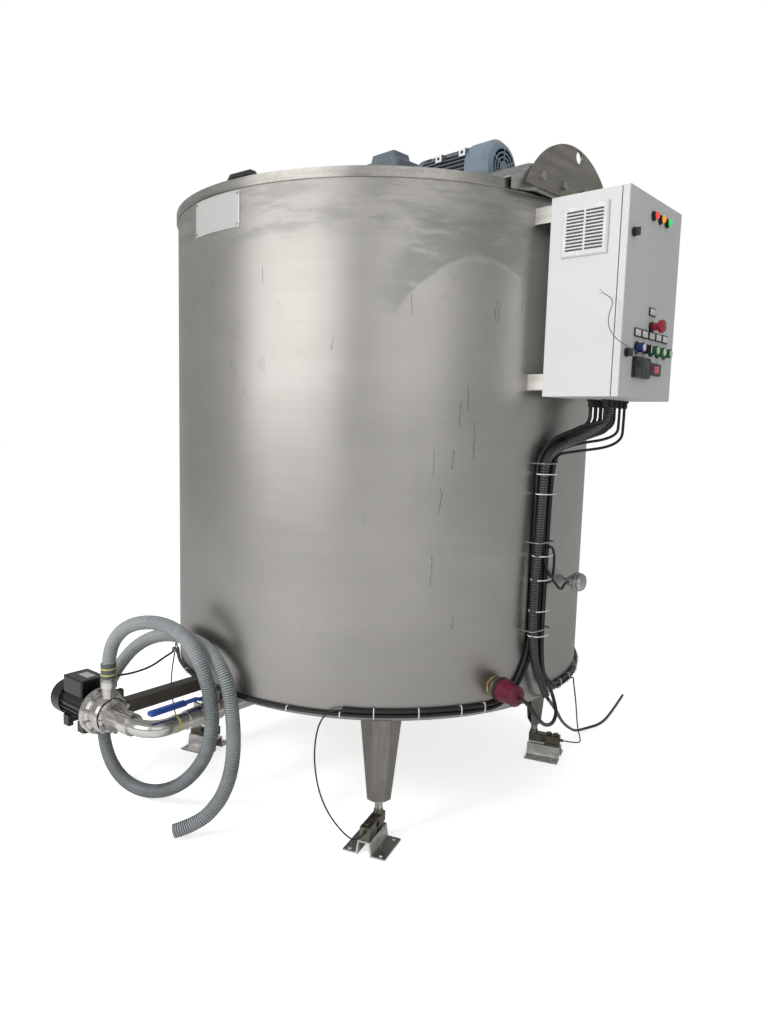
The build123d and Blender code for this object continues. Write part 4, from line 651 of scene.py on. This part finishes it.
for cordName, given in cordSettings.items():
    line = smoothLine(cordName, [Vector(point) / 1000 for point in given["points"]])
    piece, even, length = makeTube(cordName + "_run", line, given["radius"], given.get("rib", 0),
                                   given.get("pitch", 0), given.get("sides", 14))
    piece.data.materials.append(finishes[given["finish"]])
    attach(piece, given.get("body", "tank"))
    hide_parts(cordName)
    given["radius"] * 2
    cordLines[cordName] = even
print("cords laid", len(cordSettings))

loomBack = 817.3    # the side of the cables that lies towards the shell, in millimetres like what follows


def atLoom(side, height, out=0.0):
    return spot(loomAngle, loomBack + out, side, height) / 1000


def underBox(out, side, height):
    return spot(boxAngle, out, side, height) / 1000


def addRun(name, points, radius, finish, rib=0.0, pitch=0.0, sides=14):
    piece, _, _ = makeTube(name, smoothLine(name + "_line", points), radius, rib, pitch, sides)
    piece.data.materials.append(finishes[finish])
    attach(piece, "tank")


# corrugated skin of the conduit, over the loom's plain one: side and height of its middle
glandHeight = 1477
conduit = {"radius": 0.0133, "rib": 0.0022, "pitch": 0.0085, "out": 24.6,
           "route": ((-18, 1332), (-20, 1200), (-28, 1038), (-40, 840), (-34, 700), (-8, 590))}
conduitPoints = [underBox(955, 48, glandHeight), underBox(955, 48, 1408)]
conduitPoints += [atLoom(side, height, conduit["out"]) for side, height in conduit["route"]]
conduitPoints.append(atLoom(50, 492, conduit["out"] + 4))
addRun("conduitRibs", conduitPoints, conduit["radius"], "conduit", conduit["rib"], conduit["pitch"], 20)

# further cables from the free glands, gathered behind the conduit and down the right of the bundle
looseRuns = {
    "radius": 0.0048, "layer": 10.5,
    # distance out and side of the gland, how low the cable hangs, its lane in the bundle and its layer
    "cables": ((905, 162, 1400, 33, 0), (955, 124, 1378, 41, 0), (955, 162, 1352, 33, 1),
               (955, 10, 1432, 41, 1)),
    # side of the lane, height and distance out
    "route": ((4, 1318, 16), (0, 1260, 4), (-3, 1100, 2), (-4, 940, 2), (-6, 760, 2), (-4, 640, 2),
              (14, 560, 2), (40, 512, 4), (84, 506, 2))}
for index, (out, side, sag, lane, layer) in enumerate(looseRuns["cables"]):
    points = [underBox(out, side, glandHeight), underBox(out, side, 1440), underBox(out - 4, side + 4, sag),
              atLoom(lane + 55, sag - 26, 34)]
    points += [atLoom(lane + shift, height, depth + layer * looseRuns["layer"])
               for shift, height, depth in looseRuns["route"]]
    addRun("glandCable_%d" % index, points, looseRuns["radius"], "cable")

# spare half loop beside the bundle
addRun("spareLoop", [atLoom(30, 1010, 22), atLoom(44, 1012, 24), atLoom(56, 990, 26), atLoom(58, 950, 27),
       atLoom(56, 910, 26), atLoom(44, 888, 24), atLoom(28, 890, 22)], 0.0045, "cable")


def makeTie(name, matrix, wide, deep, finish="tie", band=0.0035):
    # a flat strap round the cables
    clearSelection()
    bpy.ops.mesh.primitive_cylinder_add(vertices=28, radius=1, depth=band, end_fill_type="NOTHING")
    strap = bpy.context.object
    strap.name = name
    thick = strap.modifiers.new("thickness", "SOLIDIFY")
    thick.thickness = 0.0014
    strap.data.transform(Matrix.Diagonal((deep, wide, 1, 1)))
    bpy.ops.object.modifier_apply(modifier="thickness")
    settle(strap, finish, "tank", matrix)


# where the small leads leave the cables round the lower edge: angle, how far back they start, distance out
# and height of their end, radius
leadTails = {"right": (59.5, -5, 0.838, 0.468, 0.0026), "left": (-85, 6, 0.838, 0.470, 0.0026),
             "pump": (-80, 5, 0.840, 0.470, 0.004)}
for place, (angle, back, out, height, radius) in leadTails.items():
    addRun(place + "Tail", [spot(angle + back, 0.8225, 0, 0.487), spot(angle + back * 0.6, 0.8235, 0, 0.489),
           spot(angle + back * 0.2, out - 0.004, 0, 0.492), spot(angle, out, 0, 0.486),
           spot(angle, out, 0, height)], radius, "cable")

# ties on the trunk of cables, as height and side, and round the lower edge, as angles
trunkTies = {"places": ((1255, 2), (1190, 2), (985, 0), (905, -2), (800, -4), (715, -2)),
             "out": 0.8385, "wide": 0.044, "deep": 0.0285}
for index, (height, side) in enumerate(trunkTies["places"]):
    matrix = frameAt(loomAngle, trunkTies["out"], side / 1000, height / 1000)
    makeTie("trunkTie_%d" % index, matrix, trunkTies["wide"], trunkTies["deep"])
# left of the front lead they hold one cable, and two elsewhere
edgeTies = {"single": (-60, -44, -22, -9.5), "double": (-2, 8, 18, 24, 52, 58, 66, 75),
            "out": 0.8195, "deep": 0.0095, "singleWide": 0.0095, "doubleWide": 0.0185,
            "singleHeight": 0.484, "doubleHeight": 0.492}
for index, angle in enumerate(edgeTies["single"] + edgeTies["double"]):
    kind = "single" if angle in edgeTies["single"] else "double"
    matrix = frameAt(angle, edgeTies["out"], 0, edgeTies[kind + "Height"]) @ Matrix.Rotation(pi / 2, 4, "X")
    makeTie("edgeTie_%d" % index, matrix, edgeTies[kind + "Wide"], edgeTies["deep"])
print("ties fastened")

# control panel: bare label plates, fronts, lamps and instruments
doorFace = 1.091
# sizes in metres; places on the door in millimetres from its lower left corner
panel = {"holder": (0.004, 0.047, 0.0255), "label": (0.0016, 0.039, 0.0185),
         "labels": ((108, 195), (160, 195), (215, 195), (268, 195), (321, 195), (208, 267)),
         "row": 150, "first": 108, "pitch": 53.3,
         "fronts": {0: ("blue_push", "white"), 2: ("green_push_1", "paleGreen"), 3: ("green_push_2", "white"),
                    4: ("green_push_3", "paleGreen")},
         "lamps": ((170, "lampRed"), (222, "lampOrange"), (273, "lampGreen")), "lampRow": 546,
         "controller": (140, 92), "keys": (-30, 0, 30), "display": (252, 94)}
# how far the middle of each piece stands off the door
standOff = {"holder": 0.002, "label": 0.0042, "front": 0.0264, "collar": 0.0022, "pointer": 0.0266,
            "lens": 0.0125, "key": 0.0146, "face": 0.0144, "window": 0.0084, "digit": 0.0092}


def onDoor(side, height, out):
    return frameAt(boxAngle, doorFace + out, (side - 200) / 1000, boxBottom + height / 1000)


def operatorSide(index):
    return panel["first"] + index * panel["pitch"]


for index, (side, height) in enumerate(panel["labels"]):
    holder = addBlock("labelHolder_%d" % index, panel["holder"], 0.0012)
    settle(holder, "black", "door", onDoor(side, height, standOff["holder"]))
    plate = addBlock("labelPlate_%d" % index, panel["label"], 0.0006)
    settle(plate, "white", "door", onDoor(side, height, standOff["label"]))

for index, (body, finish) in panel["fronts"].items():
    front = addDisc("front_" + body, 0.0108, 0.0026, 0.0008)
    settle(front, finish, body, onDoor(operatorSide(index), panel["row"], standOff["front"]) @ lieOut)
for index in panel["fronts"]:
    collar = addRing("buttonCollar_%d" % index, 0.0170, 0.0021, 40)
    settle(collar, "black", "door", onDoor(operatorSide(index), panel["row"], standOff["collar"]) @ lieOut)
pointer = addBlock("selectorPointer", (0.0022, 0.0032, 0.024), 0.0008)
settle(pointer, "white", "selector", onDoor(operatorSide(1), panel["row"], standOff["pointer"]))

for side, finish in panel["lamps"]:
    clearSelection()
    bpy.ops.mesh.primitive_uv_sphere_add(segments=32, ring_count=16, radius=0.0118)
    lens = bpy.context.object
    lens.name = "lens_" + finish
    bpy.ops.object.mode_set(mode="EDIT")
    bpy.ops.mesh.bisect(plane_co=(0, 0, 0), plane_no=(0, 0, 1), clear_inner=True, use_fill=True)
    bpy.ops.object.mode_set(mode="OBJECT")
    lens.data.transform(Matrix.Diagonal((1, 1, 0.55, 1)))
    settle(lens, finish, "door", onDoor(side, panel["lampRow"], standOff["lens"]) @ lieOut)

side, height = panel["controller"]
for offset in panel["keys"]:
    key = addDisc("key_%d" % (offset + 30), 0.0045, 0.0016, 0.0006)
    settle(key, "greyCable", "door", onDoor(side + offset, height - 16, standOff["key"]) @ lieOut)
face = addBlock("controllerFace", (0.0012, 0.092, 0.022), 0.0005)
settle(face, "gloss", "door", onDoor(side, height + 10, standOff["face"]))
side, height = panel["display"]
window = addBlock("displayWindow", (0.0012, 0.052, 0.024), 0.0005)
settle(window, "window", "door", onDoor(side, height, standOff["window"]))
# the bars of each digit, and where a bar lies: side, height and whether it stands
digits = {"3": "abgcd", "2": "abged"}
bars = {"a": (0, 8, False), "g": (0, 0, False), "d": (0, -8, False), "b": (4, 4, True), "c": (4, -4, True),
        "e": (-4, -4, True)}
for place, digit in ((-8, "3"), (8, "2")):
    for letter in digits[digit]:
        across, up, upright = bars[letter]
        size = (0.0006, 0.0016, 0.0066) if upright else (0.0006, 0.0066, 0.0016)
        bar = addBlock("digit_%s_%s" % (digit, letter), size, 0.0003, 1)
        settle(bar, "digits", "door", onDoor(side + place + across, height + up, standOff["digit"]))
print("panel dressed")

# dark seal between the enclosure and its door
seal = {"depth": 0.0028, "wide": 0.392, "high": 0.592, "strip": 0.012, "out": 1.0675}
sideStrip = (seal["depth"], seal["strip"], seal["high"])
endStrip = (seal["depth"], seal["wide"] - 2 * seal["strip"], seal["strip"])
sealAcross = (seal["wide"] - seal["strip"]) / 2
sealUp = (seal["high"] - seal["strip"]) / 2
for name, size, side, up in (("left", sideStrip, -sealAcross, 0), ("right", sideStrip, sealAcross, 0),
                             ("bottom", endStrip, 0, -sealUp), ("top", endStrip, 0, sealUp)):
    strip = addBlock("doorSeal_" + name, size, 0.0004, 1)
    settle(strip, "black", "door", frameAt(boxAngle, seal["out"], side, boxMiddle + up))

# bare ends of the small wire
wire = cordLines["instrument_wire"]
wireWay = (wire[-1] - wire[-4]).normalized()
for index, lean in enumerate((-1, 1)):
    corePoints = [wire[-1] - wireWay * 0.002, wire[-1] + wireWay * 0.008 + Vector((0, 0, 0.003 * lean)),
                  wire[-1] + wireWay * 0.016 + Vector((0, 0, 0.006 * lean))]
    core, _, _ = makeTube("bareCore_%d" % index, corePoints, 0.0008, sides=10, step=0.002)
    core.data.materials.append(finishes["copper"])
    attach(core, "door")


# bare plate, bent to the shell and held by four screws
barePlate = {"angle": -45.5, "height": 2.061, "width": 0.248, "tall": 0.112, "out": 0.8103, "thick": 0.0016,
             "screwAcross": 0.115, "screwUp": 0.047}


def makeBentPlate(name, given, finish):
    clearSelection()
    bpy.ops.mesh.primitive_grid_add(x_subdivisions=24, y_subdivisions=6, size=1)
    plate = bpy.context.object
    plate.name = name
    for v in plate.data.vertices:
        turn = v.co.x * given["width"] / given["out"]
        height = given["height"] + v.co.y * given["tall"]
        v.co = spot(given["angle"] + turn * 180 / pi, given["out"], 0, height)
    thicken = plate.modifiers.new("thickness", "SOLIDIFY")
    thicken.thickness = given["thick"]
    thicken.offset = 1
    bpy.ops.object.modifier_apply(modifier="thickness")
    edges = plate.modifiers.new("edges", "BEVEL")
    edges.width = 0.0006
    edges.segments = 2
    edges.angle_limit = radians(60)
    bpy.ops.object.modifier_apply(modifier="edges")
    bpy.ops.object.mode_set(mode="EDIT")
    bpy.ops.mesh.select_all(action="SELECT")
    bpy.ops.mesh.normals_make_consistent(inside=False)
    bpy.ops.object.mode_set(mode="OBJECT")
    settle(plate, finish, "tank")


makeBentPlate("barePlate", barePlate, "bare")
for across in (-barePlate["screwAcross"], barePlate["screwAcross"]):
    for up in (-barePlate["screwUp"], barePlate["screwUp"]):
        screw = addDisc("plateScrew_%d_%d" % (across * 1000, up * 1000), 0.0042, 0.0016, 0.0006, 20)
        angle = barePlate["angle"] + across / shellRadius * 180 / pi
        settle(screw, "bolt", "tank", frameAt(angle, 0.8124, 0, barePlate["height"] + up) @ lieOut)
print("plate fixed")

# weld bead round the heater socket, and the collar behind its cap
heaterSocket = {"beadRadius": 0.0325, "beadThick": 0.0035, "beadOut": 0.8112,
                "collarRadius": 0.0405, "collarTall": 0.012, "collarOut": 0.849}
bead = addRing("socketWeld", heaterSocket["beadRadius"], heaterSocket["beadThick"], 48)
settle(bead, "tint", "tank", frameAt(heaterAngle, heaterSocket["beadOut"], 0, heaterHeight) @ lieOut)
collar = addDisc("capCollar", heaterSocket["collarRadius"], heaterSocket["collarTall"], 0.002, 48)
settle(collar, "black", "tank", frameAt(heaterAngle, heaterSocket["collarOut"], 0, heaterHeight) @ lieOut)

# machined pads on the side of the motor, with their tapped holes
motorPads = {"starts": (0.313, 0.419), "size": (0.0275, 0.0016, 0.0255), "holeRadius": 0.0055,
             "side": -0.0928, "holeSide": -0.0939, "height": 2.349}
for start in motorPads["starts"]:
    middle = start + 0.014
    pad = addBlock("motorPad_%d" % round(start * 1000), motorPads["size"], 0.0006)
    settle(pad, "white", "tank", frameAt(bridgeAngle, middle, motorPads["side"], motorPads["height"]))
    hole = addDisc("padHole_%d" % round(start * 1000), motorPads["holeRadius"], 0.0012, 0.0002)
    holePlace = frameAt(bridgeAngle, middle, motorPads["holeSide"], motorPads["height"])
    settle(hole, "black", "tank", holePlace @ Matrix.Rotation(pi / 2, 4, "X"))

# yellow tie on the pump pipe
pipeTurn = Matrix.Rotation(radians(pumpAngle), 4, "Z")
tieSpot = Matrix.Translation(pumpPoint(0.294, 0.105, 0)) @ pipeTurn @ lieOut
makeTie("pipeTie", tieSpot, 0.0318, 0.0318, "yellow", 0.006)


# pump: bare label on the terminal box, bolts round the flange and ribs on the cover
def atPump(along, line, height):
    matrix = Matrix((outward(pumpAngle), outward(pumpAngle + 90), (0, 0, 1))).transposed().to_4x4()
    matrix.translation = pumpPoint(along, line, height)
    return matrix


label = addBlock("pumpLabel", (0.062, 0.036, 0.0008), 0.0003, 1)
settle(label, "bare", "tank", atPump(-0.112, 0.006, 0.1084))
pumpBolts = {"radius": 0.0795, "count": 10, "along": 0.0045}
for index in range(pumpBolts["count"]):
    turn = 2 * pi * (index + 0.5) / pumpBolts["count"]
    bolt = addDisc("pumpBolt_%d" % index, 0.0062, 0.010, 0.0012, 6)
    across, up = pumpBolts["radius"] * cos(turn), pumpBolts["radius"] * sin(turn)
    settle(bolt, "bolt", "tank", atPump(pumpBolts["along"], across, up) @ lieOut)
pumpRibs = {"size": (0.010, 0.0035, 0.028), "radius": 0.050, "count": 8, "along": 0.0765}
for index in range(pumpRibs["count"]):
    turned = Matrix.Rotation(2 * pi * index / pumpRibs["count"], 4, "X")
    rib = addBlock("pumpRib_%d" % index, pumpRibs["size"], 0.0012)
    ribPlace = atPump(pumpRibs["along"], 0, 0) @ turned @ Matrix.Translation((0, 0, pumpRibs["radius"]))
    settle(rib, "pump", "tank", ribPlace)

# plastic sleeve on the lever of the valve
sleeve = addBlock("leverSleeve", (0.030, 0.152, 0.0185), 0.0075, 4)
settle(sleeve, "leverBlue", "valve", atPump(0.294, 0.073, 0.066))

# mat behind the louvres of the filter
mat = addBlock("filterMat", (0.124, 0.0016, 0.124), 0.0004, 1)
settle(mat, "felt", "tank", frameAt(boxAngle, 0.9575, -0.1990, 1.9925))

# cuff at the foot of the hose, with two wires round it
hoseCuff = {"radius": 0.0272, "tall": 0.052, "height": 0.498, "wireRadius": 0.0280,
            "wires": (("low", -0.014), ("high", 0.008))}
cuff = addDisc("hoseCuff", hoseCuff["radius"], hoseCuff["tall"], 0.002, 48)
settle(cuff, "cuff", "tank", Matrix.Translation((hoseFoot.x, hoseFoot.y, hoseCuff["height"])))
for name, up in hoseCuff["wires"]:
    wirePlace = Matrix.Translation((hoseFoot.x, hoseFoot.y, hoseCuff["height"] + up))
    makeTie("hoseTie_" + name, wirePlace, hoseCuff["wireRadius"], hoseCuff["wireRadius"], "yellow", 0.004)


# stage and light
def makeFloor(color, glowStrength):
    clearSelection()
    bpy.ops.mesh.primitive_plane_add(size=60, location=(0, 0, -0.0005))
    floor = bpy.context.object
    floor.name = "floor"
    ground = bpy.data.materials.new("paleFloor")
    ground.use_nodes = True
    tree = ground.node_tree
    shader = tree.nodes["Principled BSDF"]
    shader.inputs["Base Color"].default_value = color
    shader.inputs["Roughness"].default_value = 0.9
    glow = tree.nodes.new("ShaderNodeEmission")
    mixer = tree.nodes.new("ShaderNodeAddShader")
    tree.links.new((seenDirectly(tree) * glowStrength).socket, glow.inputs["Strength"])
    tree.links.new(shader.outputs[0], mixer.inputs[0])
    tree.links.new(glow.outputs[0], mixer.inputs[1])
    tree.links.new(mixer.outputs[0], tree.nodes["Material Output"].inputs["Surface"])
    floor.data.materials.append(ground)


def seenDirectly(tree):
    # 1 for what the camera sees itself, 0 for what lights or is mirrored by the tank
    path = tree.nodes.new("ShaderNodeLightPath")
    direct = Field(tree, path.outputs["Is Camera Ray"])
    through = Field(tree, path.outputs["Is Transmission Ray"])
    return (direct + through).clamp()


def makeWorld(strength):
    world = bpy.data.worlds.new("studio")
    scene.world = world
    world.use_nodes = True
    tree = world.node_tree
    background = tree.nodes["Background"]
    level = seenDirectly(tree) * (1.0 - strength) + strength
    background.inputs["Color"].default_value = (1, 1, 1, 1)
    tree.links.new(level.socket, background.inputs["Strength"])


# the first two are what the steel mirrors, the others light the paint and plastic
lights = {
    "tallLeft": {"place": (-3.05, -2.97, 2.4), "target": (0, 0, 1.5), "size": (3.7, 2.6), "power": 41,
                 "mirrored": True},
    "softFront": {"place": (0.9, -5.2, 2.6), "target": (0, 0, 1.4), "size": (3.6, 2.8), "power": 20,
                  "mirrored": True},
    "key": {"place": (-3.4, -2.7, 3.2), "target": (0.2, -0.4, 1.3), "size": (1.2, 1.2), "power": 100,
            "mirrored": False},
    "topFill": {"place": (0.5, -1.5, 5.0), "target": (0, 0, 1.0), "size": (3.0, 3.0), "power": 40,
                "mirrored": False}}


def addLight(name, given):
    data = bpy.data.lights.new(name, "AREA")
    data.shape = "RECTANGLE"
    data.size, data.size_y = given["size"]
    data.energy = given["power"]
    lamp = bpy.data.objects.new(name, data)
    lamp.location = given["place"]
    lamp.visible_glossy = given["mirrored"]
    aim = Vector(given["target"]) - Vector(given["place"])
    lamp.rotation_mode = "QUATERNION"
    lamp.rotation_quaternion = aim.to_track_quat("-Z", "Y")
    scene.collection.objects.link(lamp)


makeFloor((0.93, 0.93, 0.93, 1), 0.66)
makeWorld(0.38)
for lightName, given in lights.items():
    addLight(lightName, given)
print("stage lit")
